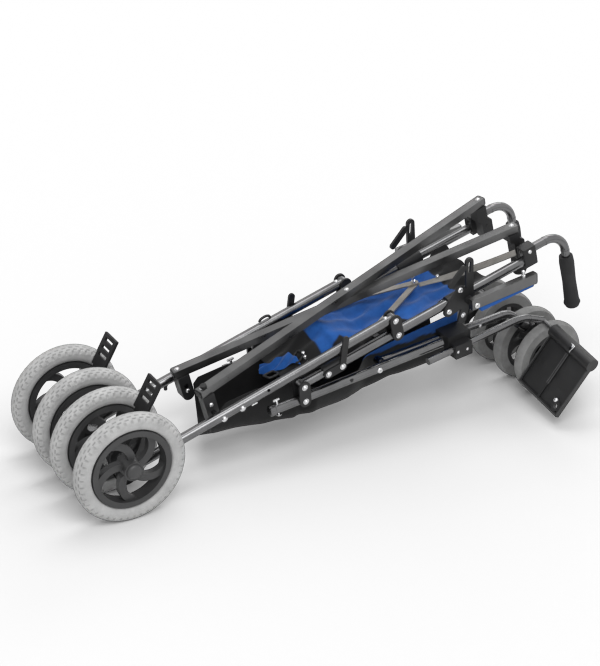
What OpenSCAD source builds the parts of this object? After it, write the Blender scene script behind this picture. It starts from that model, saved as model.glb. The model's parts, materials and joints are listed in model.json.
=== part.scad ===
// Folding buggy for a child with special needs, drawn folded and lying on its front.
// X runs from the rear wheels to the push handles, the right side frame is at minus Y, Z is up.

/* [Side frames] */
// Half distance between the two side frames when folded
frame_half_span = 95; // [93:0.5:110]
// Outer diameter of the frame tubes
tube_d = 20; // [18:0.5:22]
// Wall of the frame tubes
tube_wall = 1.8; // [1.2:0.1:3]
// Slope of the rear legs when folded
leg_angle = 17.7; // [17:0.1:18.5]
// Slope of the back posts when folded
post_angle = 16.7; // [16.2:0.1:17.2]
// Slope of the seat rails
rail_angle = 7.8; // [7:0.1:8.5]
// Rear leg from its hinge bolt to the foot of the axle carrier
leg_len = 641; // [625:1:655]
// Gap between the axes of rear leg and back post at their hinge
leg_gap = 36.7; // [34:0.1:40]
// Back post from its lower hinge to the rear leg hinge
post_low_len = 234.2; // [225:0.1:245]
// Back post from its lower hinge to its top end
post_len = 578; // [570:1:585]
// Gap between the axes of back post and seat rail at their hinge
post_gap = 33.7; // [31:0.1:37]
// Seat rail behind the back post hinge
rail_tail = 76.3; // [65:0.1:85]
// Length of the seat rail
rail_len = 423; // [421:0.5:423.5]
// Seat rail from its rear end to the front leg hinge
knee_along = 278; // [276:0.5:280]
// Bolt diameter at the frame hinges
hinge_bolt_d = 8; // [6:0.5:10]
// Width of the black hinge plates
hinge_plate_w = 26; // [24:0.5:28]
// Thickness of the black hinge plates
hinge_plate_t = 4; // [3:0.1:4.4]
// Diameter of the spare accessory holes in the rear legs
accessory_hole_d = 6.5; // [5:0.5:8]
// Accessory hole along the rear leg from its foot
accessory_hole_up = 332; // [310:1:350]

/* [Rear wheels] */
// Diameter of the rear wheels
rear_wheel_d = 230; // [226:1:234]
// Width of the rear tyres
rear_tyre_w = 35; // [30:1:38]
// Radial depth of the rear tyres
rear_tyre_depth = 32; // [28:1:36]
// Half distance between the twin rear wheels of one side
rear_twin_half = 53.5; // [52:0.5:56]
// Distance of the axle from the rear leg's axis
axle_rise = 48.9; // [46:0.1:52]
// Diameter of the rear axles
axle_d = 12; // [10:0.5:14]
// Spokes on a rear rim
rear_spokes = 5; // [3:1:7]
// Tread blocks around a rear tyre
tread_count = 30; // [20:1:36]
// Depth of the tread
tread_depth = 4; // [2:0.5:6]

/* [Casters] */
// Diameter of the caster wheels
caster_d = 170; // [164:1:171]
// Width of the caster tyres
caster_tyre_w = 26; // [22:1:27]
// Radial depth of the caster tyres
caster_tyre_depth = 24; // [20:1:28]
// Half distance between the twin wheels of a caster
caster_twin_half = 38; // [37:0.5:38.5]
// Diameter of the front legs
front_leg_d = 18; // [16:0.5:19]
// Front leg from its hinge to the corner of its bend
front_leg_straight = 340; // [336:1:343]
// Lower part of the front leg, from the corner of its bend
front_leg_drop = 46; // [44:1:48]
// Bend of the front leg
front_leg_bend = 49.5; // [48:0.5:51]
// Bend radius of the front leg
front_leg_bend_r = 45; // [40:1:50]
// Slope of the folded front leg below the seat rail
front_leg_droop = 1.5; // [1:0.1:2]
// Angle that the front legs swing down when unfolding
knee_swing = 55; // [50:1:60]
// Distance of the caster axle behind its swivel axis
caster_trail = 32; // [28:1:35]
// Distance of the swivel axis outside the front leg
caster_out = 6.5; // [5:0.5:7]

/* [Push handles] */
// Diameter of the handle canes
cane_d = 18; // [16:0.5:19]
// Bend radius of the handle canes
cane_bend_r = 50; // [46:1:54]
// Straight part of the cane between its block and its bend
cane_reach = 47; // [40:1:55]
// Diameter of the foam grips
grip_d = 32; // [28:1:36]
// Length of the foam grips
grip_len = 133; // [120:1:140]
// Distance of the cane from the back post's axis
cane_rise = 19.6; // [19.4:0.1:20.4]

/* [Cross brace] */
// Width of the cross brace tubes
brace_w = 20; // [18:0.5:22]
// Height of the cross brace tubes
brace_h = 16; // [14:0.5:18]
// Wall of the cross brace tubes
brace_wall = 1.6; // [1.2:0.1:2]
// Half distance between the lower brace pivots when folded
brace_half_span = 57.75; // [57:0.25:58.5]
// Brace tube past its end pivots
brace_overhang = 14; // [12:1:16]
// Lower brace bracket along the rear leg from its foot
low_bracket_up = 218.2; // [213:0.1:223]
// Height of the brace plane above the lower bracket's pin
low_bracket_rise = 40.5; // [39:0.1:42]
// Upper brace bracket along the back post from its lower hinge
top_bracket_along = 585; // [584:0.5:586]
// Height of the brace plane above the upper bracket's pin
top_bracket_rise = 52; // [51:0.1:53]
// Brace pivot behind the upper bracket's pin
top_bracket_back = 9.3; // [8:0.1:11]

/* [Armrests] */
// Length of an armrest from its pivot
armrest_len = 157; // [140:1:165]
// Slope of the armrests when folded
armrest_angle = 9.5; // [8:0.5:12]
// Height of the armrest tube
armrest_h = 24; // [20:1:26]
// Width of the armrest tube
armrest_w = 14; // [12:0.5:14.5]

/* [Footrest] */
// Diameter of the footrest hanger tubes
hanger_d = 16; // [14:0.5:17]
// Distance of the hangers outside the seat rails
hanger_out = 20; // [19.5:0.5:21]
// Straight upper part of a hanger
hanger_len = 229; // [224:1:234]
// Slope of the hangers
hanger_angle = 11; // [10.5:0.1:11.5]
// Downward bend of a hanger
hanger_bend = 30; // [28:0.5:32]
// Bend radius of a hanger
hanger_bend_r = 80; // [76:1:84]
// Width of the footplate
footplate_w = 136; // [132:1:138]
// Depth of the footplate
footplate_depth = 137; // [125:1:140]
// Thickness of the footplate's panel
footplate_t = 5; // [4:0.5:7]
// Sideways tilt of the footplate
footplate_tilt = 9.5; // [8:0.5:10]

/* [Brakes] */
// Width of a brake pedal
pedal_w = 50; // [46:1:52]
// Length of a brake pedal
pedal_len = 90; // [80:1:95]

/* [Fabric] */
// Thickness of the sling cloth
cloth_t = 3; // [2.5:0.5:3.5]
// Half width of the folded seat sling
seat_sling_half_w = 60; // [56:1:62]
// Half width of the folded back sling
back_sling_half_w = 74; // [71:1:75]

/* [Hidden] */
$fn = 48;
over = 1;               // overrun of every cut
fit = 0.1;              // running clearance on pins and axles
seat_gap = 0.05;        // clearance between fixed pieces that seat in each other
side_gap = 0.5;         // clearance beside moving faces
arc_fn = 64;
quarter_turn = 90;
full_turn = 360;

function dir(a) = [cos(a), sin(a)];
function nrm(a) = [-sin(a), cos(a)];
function at(p, y) = [p[0], y, p[1]];
function turn(p, c, a) = c + [
    (p - c)[0] * cos(a) - (p - c)[1] * sin(a),
    (p - c)[0] * sin(a) + (p - c)[1] * cos(a)];

// Points of the folded side frame, in the plane of the side, from the rear axle up
rear_r = rear_wheel_d / 2;
axle = [0, rear_r];
leg_foot = axle - axle_rise * nrm(leg_angle);
leg_pin = leg_foot + leg_len * dir(leg_angle);
post_pin = leg_pin - leg_gap * nrm(post_angle);
post_low = post_pin - post_low_len * dir(post_angle);
rail_pin = post_low - post_gap * nrm(rail_angle);
rail_rear = rail_pin - rail_tail * dir(rail_angle);
rail_front = rail_rear + rail_len * dir(rail_angle);
knee = rail_rear + knee_along * dir(rail_angle);
function on_post(s, rise = 0) = post_low + s * dir(post_angle) + rise * nrm(post_angle);
function on_leg(s, rise = 0) = leg_pin - s * dir(leg_angle) + rise * nrm(leg_angle);
function on_rail(s, rise = 0) = rail_rear + s * dir(rail_angle) + rise * nrm(rail_angle);

// Layers of the right side frame along Y
tube_r = tube_d / 2;
frame_y = -frame_half_span;
plate_out_y = frame_y - tube_r - side_gap;
plate_in_y = frame_y + tube_r + side_gap;

// Front leg, its caster and the swivel axis, which stands upright once unfolded
leg_side_gap = 1.5;
front_y = frame_y + tube_r + leg_side_gap + front_leg_d / 2;
fork_y = front_y - caster_out;
front_angle = rail_angle - front_leg_droop;
front_bend = knee + front_leg_straight * dir(front_angle);
front_low_angle = front_angle - front_leg_bend;
front_end = front_bend + front_leg_drop * dir(front_low_angle);
stem_angle = knee_swing - quarter_turn;
stem_axis = dir(stem_angle);
caster_r = caster_d / 2;
caster_drop = (front_end[1] - caster_trail * cos(stem_angle) - caster_r) / -sin(stem_angle);
caster_axle = front_end + caster_drop * stem_axis - caster_trail * nrm(stem_angle);

// Cross brace plane, through its pivots on the rear legs and the back posts
low_pin = on_leg(leg_len - low_bracket_up);
top_pin = on_post(top_bracket_along, cane_rise);
brace_guess = atan2(top_pin[1] - low_pin[1], top_pin[0] - low_pin[0]);
function brace_low(a) = low_pin + low_bracket_rise * nrm(a);
function brace_top(a) = top_pin + top_bracket_rise * nrm(a) - top_bracket_back * dir(a);
function brace_slope(a) = atan2(
    brace_top(a)[1] - brace_low(a)[1], brace_top(a)[0] - brace_low(a)[0]);
brace_angle = brace_slope(brace_slope(brace_slope(brace_guess)));
pivot_low = brace_low(brace_angle);
pivot_top = brace_top(brace_angle);
brace_run = norm(pivot_top - pivot_low);
brace_len = sqrt(brace_run * brace_run + 4 * brace_half_span * brace_half_span);
brace_spread = atan2(2 * brace_half_span, brace_run);
brace_half_gap = 0.15;  // half the gap between the crossing brace tubes
brace_layer = brace_h / 2 + brace_half_gap;
open_pivot_gap = 0.8;   // clearance under a brace end whose pivot is left open
brace_pin_d = 8;
bracket_w = 26;
bracket_pin_d = 10;

// Footrest, outside the right seat rail
hanger_y = frame_y - hanger_out;
clamp_start = 147;      // footrest clamp from the front leg hinge
clamp_len = 58;
clamp_inset = 8;
clamp_up = 12;
clamp_below = 15;
clamp_down = 32;
clamp_wall = 5;
hanger_inset = -52;     // start of the hanger behind its clamp
hanger_drop = 17.5;     // hanger below the front leg at its start
hanger_start = knee + (clamp_start + hanger_inset) * dir(rail_angle) - hanger_drop * nrm(rail_angle);
hanger_mid = hanger_start + hanger_len * dir(hanger_angle);
hanger_centre = hanger_mid - hanger_bend_r * nrm(hanger_angle);
hanger_low_angle = hanger_angle - hanger_bend;
hanger_turn = hanger_centre + hanger_bend_r * nrm(hanger_low_angle);
hanger_tail = 42;
hanger_end = hanger_turn + hanger_tail * dir(hanger_low_angle);
footplate_angle = 243;
footplate_side_gap = 30.5;
barrel_d = 30;
barrel_pin_d = 10;

// Overall box, whose bottom centre is the origin
axle_cap_t = 4;
hub_half = 20;
axle_out = rear_twin_half + hub_half + axle_cap_t;
wheel_side = frame_half_span + axle_out + side_gap;
footplate_side = -hanger_y + barrel_d / 2 * sin(footplate_tilt)
    + (hanger_d / 2 + footplate_side_gap + footplate_w) * cos(footplate_tilt);
cane_tail = 16;
grip_ring_share = 0.12;
grip_tip = on_post(top_bracket_along + cane_reach + cane_bend_r,
    cane_rise - cane_bend_r - cane_tail - grip_len * (1 - grip_ring_share / 2));
grip_flare = 2;
grip_reach = grip_tip[0] + (grip_d / 2 + grip_flare) * cos(post_angle);
origin_x = -(grip_reach - rear_r) / 2;
origin_y = (footplate_side - wheel_side) / 2;

// Places a piece of the right side, or its mirror image on the left
module right() translate([origin_x, origin_y, 0]) children();
module left() right() mirror([0, 1, 0]) children();

// Solid rod between two points
module rod(p, q, d) {
    v = q - p;
    translate(p) rotate([0, acos(v[2] / norm(v)), atan2(v[1], v[0])]) cylinder(h = norm(v), d = d);
}

// Rod between two points of the side plane at one Y, run past both ends
module side_rod(p, q, y, d, past = 0, along = undef) {
    u = is_undef(along) ? (q - p) / norm(q - p) : along;
    rod(at(p - past * u, y), at(q + past * u, y), d);
}

// Pin or eye along Y through a point of the side plane
module cross_pin(p, y0, y1, d) translate(at(p, y1)) rotate([90, 0, 0]) cylinder(h = y1 - y0, d = d);

// Outline in the side plane, as thick as y1 - y0
module side_plate(y0, y1) translate([0, y1, 0]) rotate([90, 0, 0]) linear_extrude(y1 - y0) children();

// Flat link with round ends
module link_2d(p, q, w) {
    translate(p) circle(d = w);
    translate(q) circle(d = w);
    translate(p) rotate(atan2(q[1] - p[1], q[0] - p[0])) translate([0, -w / 2]) square([norm(q - p), w]);
}

// Plate whose corners, given anticlockwise, are rounded to a radius
arc_steps = 12;
function heading(v) = atan2(v[1], v[0]);
function round_corner(p, from, to, r) = let (
    a = heading(p - from) - quarter_turn,
    sweep = (heading(to - p) - heading(p - from) + 2 * full_turn) % full_turn)
    [for (k = [0 : arc_steps]) p + r * dir(a + sweep * k / arc_steps)];
module plate_2d(pts, r) {
    n = len(pts);
    polygon([for (i = [0 : n - 1]) each round_corner(pts[i], pts[(i + n - 1) % n], pts[(i + 1) % n], r)]);
}

// Box in the side plane along a direction, from a start point
module side_box(p, angle, len, down, up, y0, y1)
    translate(at(p, y0)) rotate([0, -angle, 0]) translate([0, 0, -down]) cube([len, y1 - y0, down + up]);

// Revolves an outline of [radius, width] about an axle along Y
module wheel_turn(p, y) translate(at(p, y)) rotate([90, 0, 0]) rotate_extrude($fn = arc_fn) children();

// Black hinge plates on both sides of the tubes, with the bolt that is fixed and the pin that turns
module hinge_plates(fixed, turning) {
    for (y0 = [plate_out_y - hinge_plate_t, plate_in_y])
        side_plate(y0, y0 + hinge_plate_t) plate_2d([fixed, turning], hinge_plate_w / 2);
    for (p = [fixed, turning])
        cross_pin(p, plate_out_y, plate_in_y, hinge_bolt_d);
}

// Seat rails, the part of the frame that stays put

rail_cap_len = 12;
module seat_rail() color("dimgray") {
    difference() {
        union() {
            difference() {
                side_rod(rail_rear, rail_front, frame_y, tube_d);
                side_rod(rail_rear, on_rail(rail_len - rail_cap_len), frame_y, tube_d - 2 * tube_wall, over);
            }
            cross_pin(knee, front_y - front_leg_d / 2 - side_gap, front_y + front_leg_d / 2 + knee_nut_t,
                hinge_bolt_d);
            cross_pin(knee, frame_y, front_y - front_leg_d / 2 - side_gap, knee_boss_d);
        }
        cross_pin(rail_pin, frame_y - tube_d, frame_y + tube_d, hinge_bolt_d + 2 * seat_gap);
    }
}
knee_boss_d = 14;
knee_nut_t = 4;

module seat_hinge() color("black") hinge_plates(rail_pin, post_low);

// Back posts

module back_post() color("dimgray") difference() {
    union() {
        difference() {
            side_rod(post_low, on_post(post_len), frame_y, tube_d);
            side_rod(on_post(tube_d), on_post(post_len), frame_y, tube_d - 2 * tube_wall, over);
        }
        cross_pin(post_low, frame_y - tube_r, frame_y + tube_r, tube_d);
        spreader_lug();
    }
    for (p = [post_low, post_pin])
        cross_pin(p, frame_y - tube_d, frame_y + tube_d, hinge_bolt_d + 2 * fit);
}

// Lug on the post that carries the spreader bar
spreader_along = 195;
spreader_half_span = 70;
spreader_w = 14;
spreader_t = 3;
lug_w = 12;
lug_t = 5;
lug_rise = 9;
spreader_pin_d = 6;
spreader_len = 175;
module spreader_lug() {
    side_box(on_post(spreader_along - lug_w / 2, lug_rise - lug_t), post_angle, lug_w, 0, lug_t,
        frame_y + tube_r - tube_wall, -spreader_half_span + spreader_w / 2);
    on_spreader() cylinder(h = lug_t + 2 * spreader_t, d = spreader_pin_d);
}
// Frame on the right spreader's pivot, standing on the post
module on_spreader() translate(at(on_post(spreader_along, lug_rise - lug_t), -spreader_half_span))
    rotate([0, -post_angle, 0]) children();

hook_start = 52;
hook_len = 48;
hook_sleeve_d = 28;
hook_plate_w = 20;
hook_arm_w = 14;
hook_bolt_from = 58.7;
hook_bolt_to = 93.4;
hook_tip_along = 115;
hook_tip_rise = 57;
module fold_hook() color("black") difference() {
    union() {
        side_rod(on_post(hook_start), on_post(hook_start + hook_len), frame_y, hook_sleeve_d);
        side_plate(plate_out_y - hinge_plate_t, plate_out_y) {
            plate_2d([on_post(hook_bolt_from), on_post(hook_bolt_to)], hook_plate_w / 2);
            plate_2d([on_post(hook_bolt_to), on_post(hook_tip_along, hook_tip_rise)], hook_arm_w / 2);
        }
    }
    side_rod(on_post(hook_start), on_post(hook_start + hook_len), frame_y, tube_d + 2 * seat_gap, over);
}

// Black moulded joint on the post, which carries the armrest
joint_start = 368;
joint_len = 62;
joint_sleeve_d = 30;
joint_plate_w = 24;
joint_plate_t = 5;
joint_top = [398, 22];   // bolts of the joint, along the post and above it
joint_low = [361, -11];
joint_foot = [389, -46];
armrest_at = [411, -5];
armrest_pivot = on_post(armrest_at[0], armrest_at[1]);
armrest_pin_d = 8;
armrest_gap = 1.5;      // armrest outside the footrest clamp, which it swings past
armrest_y = hanger_y - hanger_d / 2 - clamp_wall - armrest_gap;
armrest_boss_d = 18;
// Slotted release lever that stands on the joint, with its side arm
lever_root = [419, 6];
lever_tip = [431, 80];
lever_w = 19;
lever_slot = [[426, 58], [431, 78]];
lever_slot_w = 6.5;
lever_arm = [[415, 72], [378, 47]];
lever_arm_w = 13;
function on_post_all(pts) = [for (q = pts) on_post(q[0], q[1])];
module arm_joint() color("black") difference() {
    union() {
        side_rod(on_post(joint_start), on_post(joint_start + joint_len), frame_y, joint_sleeve_d);
        side_plate(plate_out_y - joint_plate_t, plate_out_y) {
            plate_2d(on_post_all([joint_low, armrest_at, joint_top]), joint_plate_w / 2);
            plate_2d(on_post_all([joint_foot, armrest_at]), joint_foot_w / 2);
            plate_2d(on_post_all([lever_root, lever_tip]), lever_w / 2);
            plate_2d(on_post_all(lever_arm), lever_arm_w / 2);
        }
        cross_pin(armrest_pivot, armrest_y - armrest_w - side_gap, plate_out_y - over, armrest_pin_d);
        cross_pin(armrest_pivot, armrest_y + side_gap, plate_out_y - over, armrest_boss_d);
    }
    side_rod(on_post(joint_start), on_post(joint_start + joint_len), frame_y, tube_d + 2 * seat_gap, over);
    side_plate(plate_out_y - joint_plate_t - over, plate_out_y + over)
        plate_2d(on_post_all(lever_slot), lever_slot_w / 2);
}
joint_foot_w = 20;

armrest_below = 8;
module armrest() color("gray") {
    above = armrest_h - armrest_below;
    back = armrest_h / 2;
    difference() {
        side_box(armrest_pivot - back * dir(armrest_angle), armrest_angle, armrest_len + back,
            armrest_below, above, armrest_y - armrest_w, armrest_y);
        side_box(armrest_pivot + armrest_h * dir(armrest_angle), armrest_angle, armrest_len,
            armrest_below - brace_wall, above - brace_wall, armrest_y - armrest_w + brace_wall,
            armrest_y - brace_wall);
        cross_pin(armrest_pivot, armrest_y - armrest_w - over, armrest_y + over, armrest_pin_d + 2 * fit);
    }
}

// Block at the top of the post, which holds the cane and the brace bracket
block_len = 31;
block_back = 17;
block_side = 12.5;
block_below = 12.5;
block_above = 13;
block_start = top_bracket_along - block_back;
module handle_block() color("black") {
    difference() {
        side_box(on_post(block_start), post_angle, block_len, block_below, cane_rise + block_above,
            frame_y - block_side, frame_y + block_side);
        side_rod(on_post(block_start), on_post(post_len), frame_y, tube_d + 2 * seat_gap, over);
        side_rod(on_post(block_start, cane_rise), on_post(block_start + block_len, cane_rise), frame_y,
            cane_d + 2 * fit, over);
    }
    cross_pin(top_pin, frame_y + block_side, -brace_half_span + bracket_w / 2 + side_gap, bracket_pin_d);
}

// Push handles

module handle_cane() color("dimgray") {
    bend_start = on_post(top_bracket_along + cane_reach, cane_rise);
    centre = bend_start - cane_bend_r * nrm(post_angle);
    bend_end = centre + cane_bend_r * dir(post_angle);
    grip_inside = grip_len - grip_d;
    side_rod(on_post(block_start + side_gap, cane_rise), bend_start, frame_y, cane_d);
    translate(at(centre, frame_y)) rotate([90, -post_angle, 0]) rotate_extrude(angle = 90, $fn = arc_fn)
        translate([cane_bend_r, 0]) circle(d = cane_d);
    side_rod(bend_end, bend_end - (cane_tail + grip_inside) * nrm(post_angle), frame_y, cane_d);
    side_rod(bend_start, bend_start, frame_y, cane_d + 2 * bend_ring_t, bend_ring_half, dir(post_angle));
    side_rod(bend_end, bend_end, frame_y, cane_d + 2 * bend_ring_t, bend_ring_half, nrm(post_angle));
}
bend_ring_t = 0.5;
bend_ring_half = 1.5;

grip_waist = 1.5;
module grip() color("black") {
    top = on_post(top_bracket_along + cane_reach + cane_bend_r, cane_rise - cane_bend_r - cane_tail);
    ring = grip_len * grip_ring_share;
    half = grip_d / 2;
    translate(at(top, frame_y)) rotate([0, 180 - post_angle, 0]) rotate_extrude($fn = arc_fn)
        difference() {
            polygon([
                [0, 0], [half - grip_waist, 0], [half, ring], [half - grip_waist, grip_len / 2],
                [half, grip_len - ring], [half + grip_flare, grip_len - ring / 2],
                [half - grip_waist, grip_len], [0, grip_len]]);
            translate([0, -over]) square([cane_d / 2 + seat_gap, grip_len - grip_d + seat_gap + over]);
        }
}

// Rear legs with axle carrier, axle and brake

leg_tail = 20;
bracket_pin_reach = brace_half_span - bracket_w / 2 - side_gap;
module rear_leg() color("dimgray") difference() {
    union() {
        difference() {
            side_rod(on_leg(leg_len + leg_tail), leg_pin, frame_y, tube_d);
            side_rod(on_leg(leg_len + leg_tail), on_leg(tube_d), frame_y, tube_d - 2 * tube_wall, over);
        }
        cross_pin(leg_pin, frame_y - tube_r, frame_y + tube_r, tube_d);
        cross_pin(low_pin, frame_y + tube_r - tube_wall, -bracket_pin_reach, bracket_pin_d);
    }
    cross_pin(leg_pin, frame_y - tube_d, frame_y + tube_d, hinge_bolt_d + 2 * seat_gap);
    accessory_hole(on_leg(leg_len - accessory_hole_up));
}

// Accessory hole across the leg, facing outwards and a little up
hole_tilt = 25;
module accessory_hole(p) {
    out = at(sin(hole_tilt) * nrm(leg_angle), -cos(hole_tilt));
    rod(at(p, frame_y) - tube_d * out, at(p, frame_y) + tube_d * out, accessory_hole_d);
}

module leg_hinge() color("black") hinge_plates(leg_pin, post_pin);

carrier_half = 14;
carrier_w = 42;
pedal_offset = [40.3, 65.6];
pedal_pivot = axle + pedal_offset;
pedal_arm_w = 20;
pedal_arm_half = 5;
pedal_pin_d = 8;
pedal_ear_t = 11;
module axle_carrier() color("black") {
    difference() {
        union() {
            side_plate(frame_y - carrier_half, frame_y + carrier_half)
                plate_2d([leg_foot, axle], carrier_w / 2);
            side_plate(frame_y - pedal_arm_half, frame_y + pedal_arm_half)
                plate_2d([axle, pedal_pivot], pedal_arm_w / 2);
        }
        side_rod(on_leg(leg_len + carrier_w), on_leg(leg_len - carrier_w), frame_y, tube_d + 2 * seat_gap);
        cross_pin(axle, frame_y - frame_half_span, frame_y + frame_half_span, axle_d + 2 * seat_gap);
    }
    cross_pin(pedal_pivot, frame_y - pedal_arm_half - side_gap - pedal_ear_t,
        frame_y + pedal_arm_half + side_gap + pedal_ear_t, pedal_pin_d);
}

collar_d = 20;
axle_cap_d = 22;
module rear_axle() color("silver") {
    hub_gap = rear_twin_half - hub_half - side_gap;
    for (s = [-1, 1]) {
        cap_y = frame_y + s * (axle_out - axle_cap_t / 2 + side_gap);
        cross_pin(axle, cap_y - axle_cap_t / 2, cap_y + axle_cap_t / 2, axle_cap_d);
        y = frame_y + s * (carrier_half + hub_gap) / 2;
        cross_pin(axle, y - (hub_gap - carrier_half) / 2, y + (hub_gap - carrier_half) / 2, collar_d);
    }
    cross_pin(axle, frame_y - axle_out, frame_y + axle_out, axle_d);
}

pedal_angle = 62.5;
pedal_t = 5;
pedal_slot_w = 7;
pedal_slot_len = 32;
pedal_slot_shares = [0.45, 0.63, 0.81];
pedal_hub_d = 15;
module brake_pedal() color("black") difference() {
    union() {
        for (s = [-1, 1]) {
            y = frame_y + s * (pedal_arm_half + side_gap + pedal_ear_t / 2);
            cross_pin(pedal_pivot, y - pedal_ear_t / 2, y + pedal_ear_t / 2, pedal_hub_d);
            side_plate(y - pedal_ear_t / 2, y + pedal_ear_t / 2)
                link_2d(pedal_pivot, pedal_pivot + pedal_arm_w * dir(pedal_angle), pedal_t);
        }
        side_box(pedal_pivot + (pedal_arm_w - pedal_t / 2) * dir(pedal_angle), pedal_angle,
            pedal_len - pedal_arm_w, pedal_t / 2, pedal_t / 2, frame_y - pedal_w / 2, frame_y + pedal_w / 2);
    }
    cross_pin(pedal_pivot, frame_y - pedal_w, frame_y + pedal_w, pedal_pin_d + 2 * fit);
    for (s = pedal_slot_shares)
        side_box(pedal_pivot + (s * pedal_len) * dir(pedal_angle), pedal_angle, pedal_slot_w,
            pedal_t, pedal_t, frame_y - pedal_slot_len / 2, frame_y + pedal_slot_len / 2);
}

// Rear wheels

rim_r = rear_r - rear_tyre_depth;
rim_wall = 12;
rim_w = 28;
hub_r = 20;
spoke_w = 15;
spoke_t = 14;
crown_share = 0.9;
tread_gap = 7;
module rear_tyre(y) color("silver") difference() {
    wheel_turn(axle, y) intersection() {
        translate([rim_r, -rear_tyre_w / 2]) square([rear_tyre_depth, rear_tyre_w]);
        translate([rear_r - rear_tyre_w * crown_share, 0]) circle(r = rear_tyre_w * crown_share);
    }
    for (s = [0, 1], i = [0 : tread_count - 1])
        translate(at(axle, y + (s - 1) * rear_tyre_w / 2)) rotate([0, (i + s / 2) * 360 / tread_count, 0])
            translate([rear_r - tread_depth, -over * (1 - s) + tread_gap * s, -tread_gap / 2])
                cube([rear_tyre_w, rear_tyre_w / 2 - tread_gap + over, tread_gap]);
}

module rear_rim(y) color("black") difference() {
    union() {
        wheel_turn(axle, y) translate([rim_r - rim_wall, -rim_w / 2]) square([rim_wall - seat_gap, rim_w]);
        wheel_turn(axle, y) translate([0, -hub_half]) square([hub_r, 2 * hub_half]);
        side_plate(y - spoke_t / 2, y + spoke_t / 2) translate(axle)
            spokes_2d(rear_spokes, hub_r, rim_r - rim_wall);
    }
    cross_pin(axle, y - rear_tyre_w, y + rear_tyre_w, axle_d + 2 * fit);
}

// Swept spokes between hub and rim, each a stretch of a ring
spoke_reach_share = 0.62;
module spokes_2d(count, inner, outer) intersection() {
    circle(r = outer + over);
    for (i = [0 : count - 1]) rotate(i * 360 / count) intersection() {
        translate([0, spoke_reach_share * outer]) difference() {
            circle(r = spoke_reach_share * outer + spoke_w / 2);
            circle(r = spoke_reach_share * outer - spoke_w / 2);
        }
        square([2 * outer, 2 * outer]);
    }
}

// Front legs, casters and footrest

module front_leg() color("dimgray") {
    tangent = front_leg_bend_r * tan(front_leg_bend / 2);
    arc_start = front_bend - tangent * dir(front_angle);
    arc_centre = arc_start - front_leg_bend_r * nrm(front_angle);
    arc_end = front_bend + tangent * dir(front_low_angle);
    ring_d = front_leg_d + 2 * bend_ring_t;
    difference() {
        union() {
            side_rod(knee, arc_start, front_y, front_leg_d);
            translate(at(arc_centre, front_y)) rotate([90, -90 - front_low_angle, 0])
                rotate_extrude(angle = front_leg_bend, $fn = arc_fn)
                    translate([front_leg_bend_r, 0]) circle(d = front_leg_d);
            side_rod(arc_end, front_end, front_y, front_leg_d);
            side_rod(arc_start, arc_start, front_y, ring_d, bend_ring_half, dir(front_angle));
            side_rod(arc_end, arc_end, front_y, ring_d, bend_ring_half, dir(front_low_angle));
            cross_pin(knee, front_y - front_leg_d / 2, front_y + front_leg_d / 2, front_leg_d);
            side_rod(front_end - stem_housing_len / 2 * stem_axis,
                front_end + stem_housing_len / 2 * stem_axis, fork_y, stem_housing_d);
        }
        cross_pin(knee, front_y - front_leg_d, front_y + front_leg_d, hinge_bolt_d + 2 * fit);
        side_rod(front_end - stem_housing_len * stem_axis, front_end + stem_housing_len * stem_axis, fork_y,
            stem_d + 2 * fit);
    }
}
stem_d = 12;
stem_housing_d = 28;
stem_housing_len = 24;

fork_half = 14;
fork_arm_w = 24;
crown_d = 32;
crown_t = 13;
caster_axle_d = 10;
caster_hub_half = 13;
caster_cap_t = 3;
caster_cap_d = 18;
module caster_fork() color("black") {
    crown_top = front_end + (stem_housing_len / 2 + side_gap) * stem_axis;
    crown_low = crown_top + crown_t * stem_axis;
    elbow = crown_low + crown_t * stem_axis - caster_trail / 2 * nrm(stem_angle);
    half_axle = caster_twin_half + caster_hub_half + side_gap;
    side_rod(front_end - stem_housing_len / 2 * stem_axis, crown_top, fork_y, stem_d);
    side_rod(crown_top, crown_low, fork_y, crown_d);
    side_plate(fork_y - fork_half, fork_y + fork_half) {
        plate_2d([crown_low, elbow], fork_arm_w / 2);
        plate_2d([elbow, caster_axle], fork_arm_w / 2);
    }
    cross_pin(caster_axle, fork_y - half_axle, fork_y + half_axle, caster_axle_d);
    for (s = [-1, 1]) {
        y = fork_y + s * (half_axle + caster_cap_t / 2);
        cross_pin(caster_axle, y - caster_cap_t / 2, y + caster_cap_t / 2, caster_cap_d);
    }
}

caster_rim_wall = 10;
caster_rim_w = 20;
caster_hub_r = 15;
caster_spokes = 5;
caster_spoke_t = 10;
module caster_wheel(y) color("darkgray") {
    rim = caster_r - caster_tyre_depth;
    wheel_turn(caster_axle, y) intersection() {
        translate([rim, -caster_tyre_w / 2]) square([caster_tyre_depth, caster_tyre_w]);
        translate([caster_r - caster_tyre_w * crown_share, 0]) circle(r = caster_tyre_w * crown_share);
    }
    difference() {
        union() {
            wheel_turn(caster_axle, y) translate([rim - caster_rim_wall, -caster_rim_w / 2])
                square([caster_rim_wall - seat_gap, caster_rim_w]);
            wheel_turn(caster_axle, y) translate([0, -caster_hub_half])
                square([caster_hub_r, 2 * caster_hub_half]);
            side_plate(y - caster_spoke_t / 2, y + caster_spoke_t / 2) translate(caster_axle)
                spokes_2d(caster_spokes, caster_hub_r, rim - caster_rim_wall);
        }
        cross_pin(caster_axle, y - caster_tyre_w, y + caster_tyre_w, caster_axle_d + 2 * fit);
    }
}

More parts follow.
